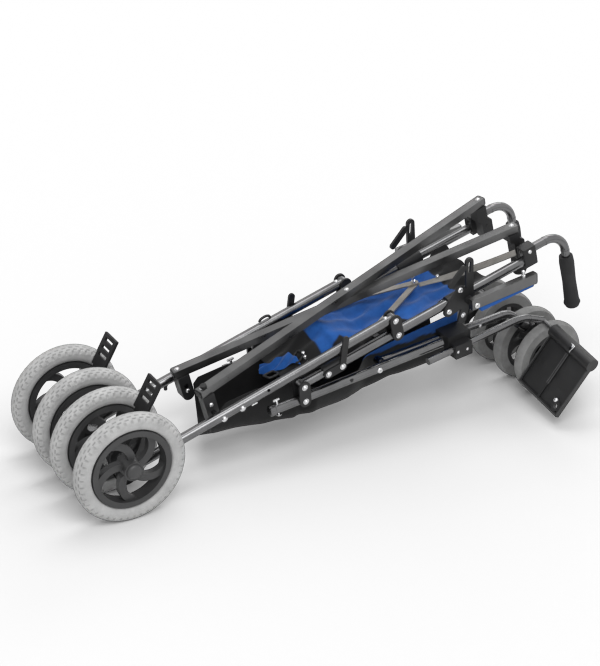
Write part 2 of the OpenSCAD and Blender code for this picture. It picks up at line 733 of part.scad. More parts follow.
module footrest_clamp() color("black") difference() {
    union() {
        side_box(knee + (clamp_start + clamp_inset) * dir(rail_angle), rail_angle, clamp_len,
            clamp_below, clamp_up, hanger_y + hanger_d / 2 + side_gap,
            front_y + front_leg_d / 2 + clamp_wall);
        side_box(knee + (clamp_start + collar_inset) * dir(rail_angle), rail_angle, collar_len, clamp_down, 0,
            hanger_y - hanger_d / 2 - clamp_wall, frame_y + tube_r);
    }
    side_rod(knee, front_bend, front_y, front_leg_d + 2 * seat_gap);
    side_rod(hanger_start, hanger_mid, hanger_y, hanger_d + 2 * seat_gap);
}
collar_inset = 12;
collar_len = 42;

module hanger() color("dimgray") {
    side_rod(hanger_start, hanger_mid, hanger_y, hanger_d);
    translate(at(hanger_centre, hanger_y)) rotate([90, -90 - hanger_low_angle, 0])
        rotate_extrude(angle = hanger_bend, $fn = arc_fn) translate([hanger_bend_r, 0]) circle(d = hanger_d);
    side_rod(hanger_turn, hanger_end, hanger_y, hanger_d);
    ring_d = hanger_d + 2 * bend_ring_t;
    side_rod(hanger_mid, hanger_mid, hanger_y, ring_d, bend_ring_half, dir(hanger_angle));
    side_rod(hanger_turn, hanger_turn, hanger_y, ring_d, bend_ring_half, dir(hanger_low_angle));
}
// The right hanger also carries the pin of the footplate
module plate_hanger() color("dimgray") {
    hanger();
    on_footplate() rotate([90, 0, 0]) cylinder(h = footplate_w * pin_reach_share, d = barrel_pin_d);
}
pin_reach_share = 0.8;
// Frame on the footplate's hinge: X down the plate, Y inwards along the barrel, Z out of the tread side
module on_footplate() translate(at(hanger_end, hanger_y)) rotate([footplate_tilt, 0, 0])
    rotate([0, -footplate_angle, 0]) children();

plate_rim_w = 6;
plate_rim_h = 9;
plate_rib_w = 5;
plate_hole_d = 12;
plate_hole_inset = 17;
button_d = 12;
button_depth = 5;
button_share = 0.57;
module footplate() color("black") on_footplate() {
    y1 = -hanger_d / 2 - footplate_side_gap;
    y0 = y1 - footplate_w;
    low = footplate_t - plate_rim_h;
    difference() {
        union() {
            translate([0, y1, 0]) rotate([90, 0, 0]) cylinder(h = footplate_w, d = barrel_d);
            translate([0, y0, 0]) cube([footplate_depth, footplate_w, footplate_t]);
            for (y = [y0, (y0 + y1 - plate_rib_w) / 2, y1 - plate_rim_w])
                translate([0, y, low]) cube([footplate_depth, plate_rim_w, plate_rim_h]);
            translate([footplate_depth - plate_rim_w, y0, low]) cube([plate_rim_w, footplate_w, plate_rim_h]);
            translate([footplate_depth - plate_hole_inset, y0 + plate_hole_inset, low])
                cylinder(h = plate_rim_h, d = 2 * plate_hole_d);
        }
        translate([0, y1 + over, 0]) rotate([90, 0, 0])
            cylinder(h = footplate_w * pin_reach_share, d = barrel_pin_d + 2 * fit);
        translate([footplate_depth - plate_hole_inset, y0 + plate_hole_inset, low - over])
            cylinder(h = plate_rim_h + 2 * over, d = plate_hole_d);
        translate([0, y1 - footplate_w * button_share, -barrel_d])
            cylinder(h = barrel_d / 2 + button_depth, d = button_d);
    }
}

// Cross brace and its brackets

// Frame on the brace plane at a lower or upper pivot, X along the plane and Z out of it
module on_brace(p, y) translate(at(p, y)) rotate([0, -brace_angle, 0]) children();

// Bracket between its pin and the brace, with its top face below the brace tube it carries
module bracket(pin, pivot, top, y) {
    half = bracket_w / 2;
    lean = (pivot - pin) * dir(brace_angle);
    rise = (pivot - pin) * nrm(brace_angle) + top;
    foot = [for (k = [0 : arc_steps]) half * dir(full_turn / 2 * (1 + k / arc_steps)) - [0, bracket_foot]];
    block = [
        [half, bracket_root], [half + lean, bracket_root + bracket_step], [half + lean, rise],
        [lean - half, rise], [lean - half, bracket_root + bracket_step], [-half, bracket_root]];
    difference() {
        on_brace(pin, y + half) rotate([90, 0, 0]) linear_extrude(bracket_w) polygon(concat(foot, block));
        cross_pin(pin, y - bracket_w, y + bracket_w, bracket_pin_d + 2 * fit);
    }
}
bracket_foot = 22;
bracket_root = 12;
bracket_step = 8;
head_t = 5;
head_d = 14;

// Lower brackets: the right one holds the over tube on a pin, the left one stands under the under tube
module low_bracket_right() color("black") {
    top = brace_layer - brace_h / 2 - side_gap / 2;
    bracket(low_pin, pivot_low, top, -brace_half_span);
    on_brace(pivot_low, -brace_half_span) {
        translate([0, 0, top]) cylinder(h = brace_h + side_gap, d = brace_pin_d);
        translate([0, 0, top + brace_h + side_gap]) cylinder(h = head_t, d = head_d);
    }
}
module low_bracket_left() color("black")
    bracket(low_pin, pivot_low, -brace_layer - brace_h / 2 - open_pivot_gap, -brace_half_span);
module top_bracket_right() color("black")
    bracket(top_pin, pivot_top, -brace_layer - brace_h / 2 - open_pivot_gap, -brace_half_span);
module top_bracket_left() color("black")
    bracket(top_pin, pivot_top, brace_layer - brace_h / 2 - open_pivot_gap, -brace_half_span);

// Rectangular tube of the brace, lying along X from its lower pivot
brace_plug = 16;
module brace_tube() difference() {
    translate([-brace_overhang, -brace_w / 2, -brace_h / 2])
        cube([brace_len + 2 * brace_overhang, brace_w, brace_h]);
    for (x = [brace_plug, brace_len / 2 + brace_plug])
        translate([x, brace_wall - brace_w / 2, brace_wall - brace_h / 2])
            cube([brace_len / 2 - 2 * brace_plug, brace_w - 2 * brace_wall, brace_h - 2 * brace_wall]);
}
module brace_tube_over() color("gray") on_brace(pivot_low, -brace_half_span)
    translate([0, 0, brace_layer]) rotate([0, 0, brace_spread]) {
        difference() {
            brace_tube();
            translate([0, 0, -brace_h]) cylinder(h = 2 * brace_h, d = brace_pin_d + 2 * fit);
        }
        translate([brace_len / 2, 0, -brace_h / 2 - brace_h - head_t])
            cylinder(h = brace_h + head_t, d = brace_pin_d);
    }
module brace_tube_under() color("gray") on_brace(pivot_low, brace_half_span)
    translate([0, 0, -brace_layer]) rotate([0, 0, -brace_spread]) difference() {
        brace_tube();
        translate([brace_len / 2, 0, -brace_h]) cylinder(h = 2 * brace_h, d = brace_pin_d + 2 * fit);
    }

// Spreader bars between the back posts, stacked where they meet
module spreader(layer) color("gray") {
    swing = asin(spreader_half_span / spreader_len);
    up = lug_t + layer * (spreader_t + side_gap) + side_gap / 2;
    on_spreader() translate([0, 0, up]) rotate([0, 0, swing])
        difference() {
            linear_extrude(spreader_t) link_2d([0, 0], [spreader_len, 0], spreader_w);
            translate([0, 0, -over]) cylinder(h = spreader_t + 2 * over, d = spreader_pin_d + 2 * fit);
        }
}
module spreader_right() spreader(0);
module spreader_left() spreader(1);

// Sling cloth, a thin closed sheet over a grid of columns and rows

sew_gap = 0.3;          // cloth beside the tube it is sewn to
sew_y = frame_half_span - tube_r - sew_gap;
sew_inset = 26;
cloth_cols = 16;
cloth_rows = 12;
function mix(table, t) = let (n = len(table) - 1, i = min(floor(t * n), n - 1), f = t * n - i)
    table[i] * (1 - f) + table[i + 1] * f;

// Closed sheet whose upper face passes through the points, cloth_t thick downwards
module sheet(points) {
    n = cloth_cols * cloth_rows;
    low = [for (p = points) p - [0, 0, cloth_t]];
    function id(i, j) = i * cloth_rows + j;
    cells = [for (i = [0 : cloth_cols - 2], j = [0 : cloth_rows - 2]) [i, j]];
    top_faces = [for (c = cells) each [
        [id(c[0], c[1]), id(c[0], c[1] + 1), id(c[0] + 1, c[1])],
        [id(c[0] + 1, c[1]), id(c[0], c[1] + 1), id(c[0] + 1, c[1] + 1)]]];
    rim = concat(
        [for (j = [0 : cloth_rows - 2]) id(0, j)],
        [for (i = [0 : cloth_cols - 2]) id(i, cloth_rows - 1)],
        [for (j = [cloth_rows - 1 : -1 : 1]) id(cloth_cols - 1, j)],
        [for (i = [cloth_cols - 1 : -1 : 1]) id(i, 0)]);
    m = len(rim);
    sides = [for (k = [0 : m - 1]) each [
        [rim[k], rim[k] + n, rim[(k + 1) % m]],
        [rim[(k + 1) % m], rim[k] + n, rim[(k + 1) % m] + n]]];
    polyhedron(concat(points, low),
        concat(top_faces, [for (f = top_faces) [f[0] + n, f[2] + n, f[1] + n]], sides));
}

// Seat sling: hangs below the rails from behind them to the footrest, deepest in its rear half
sling_clear = 11.5;     // sling in front of the lower brackets
sling_start = (low_pin - rail_rear) * dir(rail_angle) + bracket_w / 2 + sling_clear;
sling_end = 462;
sling_edge_drop_shares = [-0.42, -0.32, -0.18, -0.02, 0.02, 0.18, 0.22, 0.25];
sling_low_shares = [0.28, 0.38, 0.48, 0.53, 0.55, 0.51, 0.54, 0.45];
sling_drop = 120;
fold_count = 2.5;
fold_depth_share = 0.05;
module seat_sling() color("black") sheet([
    for (i = [0 : cloth_cols - 1], j = [0 : cloth_rows - 1])
        let (t = i / (cloth_cols - 1), v = 2 * j / (cloth_rows - 1) - 1,
            along = sling_start + (sling_end - sling_start) * t,
            sewn = along > rail_tail + sew_inset && along < knee_along - 2 * sew_inset,
            half_w = sewn ? sew_y : seat_sling_half_w,
            edge = sewn ? -cloth_t / 2 : sling_drop * mix(sling_edge_drop_shares, t),
            low = sling_drop * mix(sling_low_shares, t),
            sag = (low - edge) * (1 - pow(abs(v), 3)),
            fold = sling_drop * fold_depth_share * sin(360 * fold_count * t + 90 * v) * (1 - v * v),
            p = on_rail(along))
        [p[0], v * half_w, p[1] - edge - sag + fold]]);

// Back sling: lies between the posts, bunched up above them at its lower end
back_start = -16;
back_end = 520;
back_rise_shares = [-0.05, 0.25, 0.75, 0.95, 0.5, 0.08, 0.04, 0, -0.1, -0.25, -0.35, -0.4, -0.45, -0.5];
back_rise = 52;
back_edge_drop = 3;
// Stretches along the post where the cloth is sewn to it, between hook, spreader, hinge and armrest joint
back_sewn = [[105, 160], [265, 365], [445, 530]];
function inside(x, spans) = len([for (r = spans) if (x > r[0] && x < r[1]) 1]) > 0;
module back_sling() color("royalblue") sheet([
    for (i = [0 : cloth_cols - 1], j = [0 : cloth_rows - 1])
        let (t = i / (cloth_cols - 1), v = 2 * j / (cloth_rows - 1) - 1,
            along = back_start + (back_end - back_start) * t,
            sewn = inside(along, back_sewn),
            half_w = sewn ? sew_y : back_sling_half_w,
            edge = sewn ? -cloth_t / 2 : back_edge_drop,
            bulge = back_rise * mix(back_rise_shares, t) * (1 - v * v * v * v),
            fold = back_rise * fold_depth_share * sin(360 * fold_count * t + 180 * v) * (1 - v * v),
            p = on_post(along, bulge + fold - edge))
        [p[0], v * half_w, p[1]]]);

// Drawing
right() seat_rail();  // seat_rail_right
left() seat_rail();  // seat_rail_left
right() seat_hinge();  // seat_hinge_right
left() seat_hinge();  // seat_hinge_left
right() back_post();  // back_post_right
left() back_post();  // back_post_left
right() fold_hook();  // fold_hook_right
left() fold_hook();  // fold_hook_left
right() arm_joint();  // arm_joint_right
left() arm_joint();  // arm_joint_left
right() handle_block();  // handle_block_right
left() handle_block();  // handle_block_left
right() handle_cane();  // handle_cane_right
left() handle_cane();  // handle_cane_left
right() grip();  // grip_right
left() grip();  // grip_left
right() armrest();  // armrest_right
left() armrest();  // armrest_left
right() rear_leg();  // rear_leg_right
left() rear_leg();  // rear_leg_left
right() leg_hinge();  // leg_hinge_right
left() leg_hinge();  // leg_hinge_left
right() axle_carrier();  // axle_carrier_right
left() axle_carrier();  // axle_carrier_left
right() rear_axle();  // rear_axle_right
left() rear_axle();  // rear_axle_left
right() brake_pedal();  // brake_pedal_right
left() brake_pedal();  // brake_pedal_left
right() rear_tyre(frame_y - rear_twin_half);  // rear_tyre_right_outer
right() rear_tyre(frame_y + rear_twin_half);  // rear_tyre_right_inner
left() rear_tyre(frame_y - rear_twin_half);  // rear_tyre_left_outer
left() rear_tyre(frame_y + rear_twin_half);  // rear_tyre_left_inner
right() rear_rim(frame_y - rear_twin_half);  // rear_rim_right_outer
right() rear_rim(frame_y + rear_twin_half);  // rear_rim_right_inner
left() rear_rim(frame_y - rear_twin_half);  // rear_rim_left_outer
left() rear_rim(frame_y + rear_twin_half);  // rear_rim_left_inner
right() front_leg();  // front_leg_right
left() front_leg();  // front_leg_left
right() footrest_clamp();  // footrest_clamp_right
left() footrest_clamp();  // footrest_clamp_left
right() plate_hanger();  // hanger_right
left() hanger();  // hanger_left
right() footplate();
right() caster_fork();  // caster_fork_right
left() caster_fork();  // caster_fork_left
right() caster_wheel(fork_y - caster_twin_half);  // caster_wheel_right_outer
right() caster_wheel(fork_y + caster_twin_half);  // caster_wheel_right_inner
left() caster_wheel(fork_y - caster_twin_half);  // caster_wheel_left_outer
left() caster_wheel(fork_y + caster_twin_half);  // caster_wheel_left_inner
right() low_bracket_right();
left() low_bracket_left();
right() top_bracket_right();
left() top_bracket_left();
right() brace_tube_over();
right() brace_tube_under();
right() spreader_right();
left() spreader_left();
right() seat_sling();
right() back_sling();
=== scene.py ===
"""Looks of the folded buggy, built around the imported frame.

Lengths are written in millimetres of the side plane (x along, z up, y from the middle plane, minus on the
right) and turned into metres of the row frame by place(). The pivots come from the frame's joints.
"""
import json
import math

import bmesh
import bpy
import numpy as np
from mathutils import Matrix


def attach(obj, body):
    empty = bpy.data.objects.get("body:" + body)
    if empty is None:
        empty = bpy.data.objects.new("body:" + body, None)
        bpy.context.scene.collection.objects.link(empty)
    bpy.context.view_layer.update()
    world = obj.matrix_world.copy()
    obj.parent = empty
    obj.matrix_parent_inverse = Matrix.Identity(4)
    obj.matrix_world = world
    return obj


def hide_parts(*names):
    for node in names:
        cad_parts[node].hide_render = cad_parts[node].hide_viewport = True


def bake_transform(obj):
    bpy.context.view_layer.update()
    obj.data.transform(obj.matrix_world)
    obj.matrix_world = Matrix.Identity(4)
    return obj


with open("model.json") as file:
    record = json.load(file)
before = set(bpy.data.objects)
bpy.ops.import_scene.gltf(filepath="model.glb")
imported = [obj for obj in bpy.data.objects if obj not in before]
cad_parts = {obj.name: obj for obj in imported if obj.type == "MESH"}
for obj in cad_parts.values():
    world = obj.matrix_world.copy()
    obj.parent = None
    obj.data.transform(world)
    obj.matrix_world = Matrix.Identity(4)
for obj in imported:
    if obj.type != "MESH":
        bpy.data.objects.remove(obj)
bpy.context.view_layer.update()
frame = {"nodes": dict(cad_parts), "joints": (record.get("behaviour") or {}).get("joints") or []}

SIDES = (("right", -1.0), ("left", 1.0))
JOINTS = {j["name"]: j for j in frame["joints"]}


# Places and directions

def row_place(joint):
    """Where the frame puts a joint, in millimetres of the row frame."""
    return 1000.0 * np.array(JOINTS[joint]["pos_m"])


# The side plane's zero in the row frame: below the rear axle, midway between the sides
WHEEL_RIGHT = row_place("rear_wheel_spin_right_outer")
WHEEL_LEFT = row_place("rear_wheel_spin_left_outer")
SHIFT = np.array([WHEEL_RIGHT[0], (WHEEL_RIGHT[1] + WHEEL_LEFT[1]) / 2, 0.0])


def place(p):
    """Millimetres of the side frame to metres of the row frame."""
    return (np.asarray(p, float) + SHIFT) / 1000.0


def at_y(p, y):
    """A point of the side plane, moved to a distance from the middle plane."""
    return np.array([p[0], y, p[2]])


def pivot(joint):
    """A joint's place in the side plane, so with its y left out."""
    return at_y(row_place(joint) - SHIFT, 0.0)


def reach(joint):
    """How far a joint of the right side is from the middle plane."""
    return SHIFT[1] - row_place(joint)[1]


FORWARD = np.array([1.0, 0.0, 0.0])


def along(angle):
    """Unit vector of the side plane at an angle in degrees, as x, y, z."""
    a = math.radians(angle)
    return np.array([math.cos(a), 0.0, math.sin(a)])


def across(angle):
    """Unit vector a quarter turn on from along()."""
    a = math.radians(angle)
    return np.array([-math.sin(a), 0.0, math.cos(a)])


def lean(direction):
    """Angle in degrees of a direction in the side plane."""
    return math.degrees(math.atan2(direction[2], direction[0]))


# Pivots of the folded side frame
AXLE = pivot("rear_wheel_spin_right_outer")
CASTER_AXLE = pivot("caster_wheel_spin_right_outer")
POST_LOW = pivot("fold")
POST_PIN = pivot("leg_fold_right")
KNEE = pivot("front_fold_right")
LOW_PIN = pivot("low_bracket_turn_right")
BRACE_LOW = pivot("brace_over_turn")
BRACE_MID = pivot("brace_under_turn")
ARM_PIVOT = pivot("armrest_swing_right")
FRAME_Y = reach("fold")
TWIN_GAP = reach("rear_wheel_spin_right_outer") - FRAME_Y
BRACE_SPAN = reach("low_bracket_turn_right")
ARM_Y = reach("armrest_swing_right")

# Leans of its tubes in degrees, and the pins that sit beside those pivots
POST = lean(-np.array(JOINTS["handle_turn_right"]["axis"]))
BRACE = lean(JOINTS["brace_over_turn"]["axis"]) - 90.0
RAIL = 7.8
FRONT = 6.3
ARM = 9.5
LEG_HINGE_GAP = 36.7
LEG_PIN = POST_PIN + LEG_HINGE_GAP * across(POST)
LEG = lean(LEG_PIN - LOW_PIN)
RAIL_KNEE = 278.0
RAIL_REAR = KNEE - RAIL_KNEE * along(RAIL)


def on_post(s, rise=0.0):
    """Point of a back post, s up from its lower pivot and rise above its axis."""
    return POST_LOW + s * along(POST) + rise * across(POST)


def on_leg(s, rise=0.0):
    """Point of a rear leg, s back from its hinge pin and rise above its axis."""
    return LEG_PIN - s * along(LEG) + rise * across(LEG)


def on_rail(s, rise=0.0):
    """Point of a seat rail, s forward from its rear end and rise above its axis."""
    return RAIL_REAR + s * along(RAIL) + rise * across(RAIL)


def on_front(s, rise=0.0):
    """Point of a front leg, s forward from the knee and rise above its axis."""
    return KNEE + s * along(FRONT) + rise * across(FRONT)


def on_arm(s, rise=0.0):
    """Point of an armrest, s forward from its pivot and rise above its axis."""
    return ARM_PIVOT + s * along(ARM) + rise * across(ARM)


# Mesh making

MERGE_DIST = 2e-6


def grid_faces(nu, nv, wrap_u=False, wrap_v=False):
    """Quads of a grid of nu by nv points, closed round where a way wraps."""
    rows = np.arange(nu if wrap_u else nu - 1)
    columns = np.arange(nv if wrap_v else nv - 1)
    i, j = np.meshgrid(rows, columns, indexing="ij")
    i2, j2 = (i + 1) % nu, (j + 1) % nv
    return np.stack([i * nv + j, i2 * nv + j, i2 * nv + j2, i * nv + j2], -1).reshape(-1, 4)


def shade_smooth(mesh):
    """Smooth shading on every face."""
    mesh.polygons.foreach_set("use_smooth", np.ones(len(mesh.polygons), bool))


def mark_points(piece, name, values):
    """A number per point, kept as an attribute that a material reads."""
    mark = piece.data.attributes.new(name, "FLOAT", "POINT")
    mark.data.foreach_set("value", values.ravel().astype(np.float32))


def make_piece(name, points, faces, material, smooth=True, uv=None):
    """Object at the origin from points in metres and quads (a repeated corner makes a triangle)."""
    mesh = bpy.data.meshes.new(name)
    quads = [tuple(dict.fromkeys(f)) for f in faces.tolist()]
    mesh.from_pydata(points.reshape(-1, 3), [], quads)
    mesh.update()
    if smooth:
        shade_smooth(mesh)
    if uv is not None:
        layer = mesh.uv_layers.new(name="cloth")
        loops = np.zeros(len(mesh.loops), np.int32)
        mesh.loops.foreach_get("vertex_index", loops)
        layer.data.foreach_set("uv", uv.reshape(-1, 2)[loops].astype(np.float32).ravel())
    mesh.materials.append(material)
    piece = bpy.data.objects.new(name, mesh)
    bpy.context.scene.collection.objects.link(piece)
    return piece


def around(count):
    """Angles of a full turn in even steps, the last one short of the first."""
    return np.linspace(0, 2 * np.pi, count, endpoint=False)


def ring(k):
    """Points of the unit circle at the angles k, as rows."""
    return np.stack([np.cos(k), np.sin(k)], -1)


def signed_power(x, power):
    """A power that keeps the sign, which squares off a circle's sine and cosine."""
    return np.sign(x) * np.abs(x) ** power


def frame_of(direction):
    """Two unit vectors square to a unit direction."""
    side = np.cross(direction, [0.0, 0.0, 1.0] if abs(direction[2]) < 0.9 else [1.0, 0.0, 0.0])
    side /= np.linalg.norm(side)
    return side, np.cross(direction, side)


def knob(at, axis, profile, segments=20):
    """Profile of (radius, height) rows turned about an axis through a point, as rings along the axis:
    at + height * axis + radius * spoke."""
    d = np.asarray(axis, float) / np.linalg.norm(axis)
    e, f = frame_of(d)
    spoke = ring(around(segments)) @ np.stack([e, f])
    r, h = np.asarray(profile, float).T[:, :, None, None]
    return np.asarray(at, float) + h * d + r * spoke


def tube_along(path, outline):
    """Closed outline of (side, up) rows carried along a path of points, each with its own square frame."""
    path = np.asarray(path, float)
    t = np.gradient(path, axis=0)
    t /= np.linalg.norm(t, axis=1)[:, None]
    up = np.cross([0.0, 1.0, 0.0], t)
    weak = np.linalg.norm(up, axis=1) < 1e-3
    up[weak] = np.cross([1.0, 0.0, 0.0], t[weak])
    up /= np.linalg.norm(up, axis=1)[:, None]
    side = np.cross(t, up)
    aside, above = np.asarray(outline, float).T[:, None, :, None]
    return path[:, None, :] + aside * side[:, None, :] + above * up[:, None, :]


def cap_ends(points):
    """Adds a ring shrunk to its middle at both ends of a swept tube, so that it closes."""
    first, last = points[:1].mean(1, keepdims=True), points[-1:].mean(1, keepdims=True)
    n = points.shape[1]
    return np.concatenate([np.repeat(first, n, 1), points, np.repeat(last, n, 1)], 0)


def bar(a, b, width, thick, up, bevel=1.0, power=9.0, corners=24):
    """Rounded box from a to b: a superellipse outline carried along the line and drawn in by the bevel at
    its ends."""
    a, b = np.asarray(a, float), np.asarray(b, float)
    length = np.linalg.norm(b - a)
    d = (b - a) / length
    side = np.cross(up, d)
    side /= np.linalg.norm(side)
    top = np.cross(d, side)
    o = 0.5 * signed_power(ring(around(corners) + np.pi / corners), 2 / power)
    at = np.array([0, 0, bevel, length - bevel, length, length])
    inner = [width - 2 * bevel, thick - 2 * bevel]
    size = np.array([[0, 0], inner, [width, thick], [width, thick], inner, [0, 0]])
    return (a + at[:, None, None] * d + (o[None, :, 0] * size[:, :1])[..., None] * side
            + (o[None, :, 1] * size[:, 1:])[..., None] * top)


def rod(a, b, r, bevel=0.7, segments=20):
    """Round rod from a to b with bevelled ends, as rings along its length."""
    a, b = np.asarray(a, float), np.asarray(b, float)
    h = np.linalg.norm(b - a)
    profile = [(0, 0), (r - bevel, 0), (r, bevel), (r, h - bevel), (r - bevel, h), (0, h)]
    return knob(a, b - a, profile, segments)


def bent_rod(path, r, segments=14):
    """Round wire along a path of points, closed at both ends."""
    return cap_ends(tube_along(path, r * ring(around(segments))))


def solid_piece(name, sweeps, material, body, sharp=38.0):
    """One piece from several closed sweeps in millimetres: rings are joined, doubles merged, faces turned
    outwards and edges kept sharp above an angle in degrees. Without a body, the piece is left unattached for
    the caller."""
    parts, faces, count = [], [], 0
    for rings in sweeps:
        parts.append(rings.reshape(-1, 3))
        faces.append(grid_faces(rings.shape[0], rings.shape[1], False, True) + count)
        count += len(parts[-1])
    piece = make_piece(name, place(np.concatenate(parts)), np.concatenate(faces), material)
    bm = bmesh.new()
    bm.from_mesh(piece.data)
    bmesh.ops.remove_doubles(bm, verts=bm.verts, dist=MERGE_DIST)
    bmesh.ops.recalc_face_normals(bm, faces=bm.faces)
    bm.to_mesh(piece.data)
    bm.free()
    shade_smooth(piece.data)
    piece.data.set_sharp_from_angle(angle=math.radians(sharp))
    if body:
        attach(piece, body)
    return piece


def outward(points, faces):
    """Faces of a closed surface, turned round if its signed volume comes out negative."""
    q = points.reshape(-1, 3)[faces]
    centre = q.reshape(-1, 3).mean(0)
    signed = np.einsum("ij,ij->", q.mean(1) - centre, np.cross(q[:, 2] - q[:, 0], q[:, 3] - q[:, 1]))
    return faces if signed > 0 else faces[:, ::-1]


def smoothstep(lo, hi, x):
    """Rises softly from 0 at lo to 1 at hi."""
    t = np.clip((x - lo) / (hi - lo), 0, 1)
    return t * t * (3 - 2 * t)


def window(x, edges):
    """Rises softly between the first two edges and falls between the last two."""
    return smoothstep(edges[0], edges[1], x) * (1 - smoothstep(edges[2], edges[3], x))


def ridge(x, half):
    """Bell of height 1 about zero."""
    return np.exp(-(x / half) ** 2)


def waves(rows, t, v):
    """Sum of slanting sine waves: each row gives height, turns along t, turns across v and phase."""
    return sum(h * np.sin(2 * np.pi * (a * t + b * v) + c) for h, a, b, c in rows)


def line_through(rows, x):
    """Height at x of the broken line through rows of (x, height)."""
    at, height = np.transpose(rows)
    return np.interp(x, at, height)


# Materials

# Where a Mix node has its colour sockets
MIX_A, MIX_B, MIX_RESULT = 6, 7, 2


class Shader:
    """Adds nodes to a node tree and wires them; a value is a socket to link or a plain setting."""

    def __init__(self, tree):
        self.nodes, self.links = tree.nodes, tree.links

    def feed(self, socket, value):
        """Gives an input its value."""
        if isinstance(value, bpy.types.NodeSocket):
            self.links.new(value, socket)
        else:
            socket.default_value = value

    def node(self, kind, *values, **settings):
        """New node with its first inputs fed and its settings made."""
        n = self.nodes.new("ShaderNode" + kind)
        for key, setting in settings.items():
            setattr(n, key, setting)
        for socket, value in zip(n.inputs, values):
            self.feed(socket, value)
        return n

    def surface(self, **values):
        """Feeds inputs of the Principled node, named with underscores for blanks."""
        for key, value in values.items():
            self.feed(self.nodes["Principled BSDF"].inputs[key.replace("_", " ")], value)

    def coord(self, kind):
        """Coordinates of one kind."""
        return self.node("TexCoord").outputs[kind]

    def math(self, operation, *values):
        """Result of a sum on one, two or three values."""
        return self.node("Math", *values, operation=operation).outputs[0]

    def noise(self, vector, scale, detail, rough=0.5):
        """Cloudy value between 0 and 1."""
        n = self.node("TexNoise")
        self.feed(n.inputs["Vector"], vector)
        self.feed(n.inputs["Scale"], scale)
        self.feed(n.inputs["Detail"], detail)
        self.feed(n.inputs["Roughness"], rough)
        return n.outputs["Fac"]

    def ramp(self, fac, low, high):
        """Blend between two stops of (place, colour or grey)."""
        n = self.node("ValToRGB", fac)
        for element, (at, colour) in zip(n.color_ramp.elements, (low, high)):
            element.position = at
            element.color = (colour, colour, colour, 1.0) if isinstance(colour, float) else (*colour, 1.0)
        return n.outputs["Color"]

    def mix(self, factor, a, b):
        """Colour a where the factor is 0 and b where it is 1."""
        n = self.node("Mix", data_type="RGBA")
        self.feed(n.inputs["Factor"], factor)
        self.feed(n.inputs[MIX_A], a)
        self.feed(n.inputs[MIX_B], b)
        return n.outputs[MIX_RESULT]

    def attribute(self, name):
        """Number kept on the mesh's points."""
        return self.node("Attribute", attribute_name=name).outputs["Fac"]

    def bump(self, height, strength, distance):
        """Small relief on the surface."""
        n = self.node("Bump")
        self.feed(n.inputs["Strength"], strength)
        self.feed(n.inputs["Distance"], distance)
        self.feed(n.inputs["Height"], height)
        self.surface(Normal=n.outputs["Normal"])


def new_material(name):
    """Material with nodes, and the shader that fills it."""
    m = bpy.data.materials.new(name)
    m.use_nodes = True
    return m, Shader(m.node_tree)


def metal_finish(name, dark, light, rough, metallic=1.0):
    """Metal with a faint cloud in colour and roughness and a very fine drawn grain."""
    m, shader = new_material(name)
    spot = shader.coord("Object")
    cloud = shader.noise(spot, scale=22.0, detail=4.0)
    shader.surface(Base_Color=shader.ramp(cloud, (0.3, dark), (0.7, light)), Metallic=metallic,
                   Roughness=shader.ramp(cloud, (0.25, rough * 0.85), (0.75, rough * 1.2)))
    shader.bump(shader.noise(spot, scale=900.0, detail=2.0), strength=0.08, distance=0.0004)
    return m


def plastic_finish(name, dark, light, rough, grain_scale=700.0, bump=0.25, shine=0.5):
    """Moulded plastic with a fine spark-eroded grain and faint scuffs."""
    m, shader = new_material(name)
    spot = shader.coord("Object")
    cloud = shader.noise(spot, scale=14.0, detail=5.0)
    scuff = shader.noise(spot, scale=60.0, detail=6.0, rough=0.7)
    shader.surface(Base_Color=shader.ramp(cloud, (0.35, dark), (0.7, light)), Specular_IOR_Level=shine,
                   Roughness=shader.ramp(scuff, (0.4, rough), (0.75, min(1.0, rough * 1.35))))
    shader.bump(shader.noise(spot, scale=grain_scale, detail=2.0), strength=bump, distance=0.0004)
    return m


def cloth_finish(name, colours, thread, rough, sheen, second=None):
    """Plain weave: two crossed waves on the cloth's own map, in metres of cloth, with a slub in the colour.
    Where the mesh's mark for black rises to 1, the second pair of colours takes over: black cloth, and on
    the back cloth also painted shade."""
    m, shader = new_material(name)
    flat = shader.coord("UV")
    ways = shader.node("SeparateXYZ", flat).outputs[:2]
    warp, weft = (shader.math("SINE", shader.math("MULTIPLY", way, 2 * math.pi / thread)) for way in ways)
    weave = shader.math("MULTIPLY_ADD", shader.math("MULTIPLY", warp, weft), 0.5, 0.5)
    tone = shader.math("MULTIPLY_ADD", weave, 0.3, shader.noise(flat, scale=38.0, detail=5.0, rough=0.6))
    colour = shader.ramp(tone, (0.4, colours[0]), (0.9, colours[1]))
    if second:
        other = shader.ramp(tone, (0.4, second[0]), (0.9, second[1]))
        colour = shader.mix(shader.attribute("panel"), colour, other)
    shader.surface(Base_Color=colour, Roughness=rough, Specular_IOR_Level=0.22, Sheen_Weight=sheen,
                   Sheen_Roughness=0.5)
    shader.bump(weave, strength=0.35, distance=0.0006)
    return m


def tyre_finish(name, dark, light, deep):
    """Solid foam rubber: light grey with a cloud and a pored surface, and painted shade in its grooves:
    darker, in the colour deep, where the mesh's shade mark for the grooves rises."""
    m, shader = new_material(name)
    spot = shader.coord("Object")
    cloud = shader.noise(spot, scale=30.0, detail=6.0, rough=0.65)
    pores = shader.noise(spot, scale=620.0, detail=3.0)
    body = shader.ramp(cloud, (0.3, dark), (0.72, light))
    # Painted shade: the grooves darken towards the colour deep
    shader.surface(Base_Color=shader.mix(shader.attribute("groove_shade"), body, (*deep, 1.0)),
                   Roughness=shader.ramp(pores, (0.3, 0.72), (0.8, 0.9)))
    shader.bump(pores, strength=0.3, distance=0.0006)
    return m


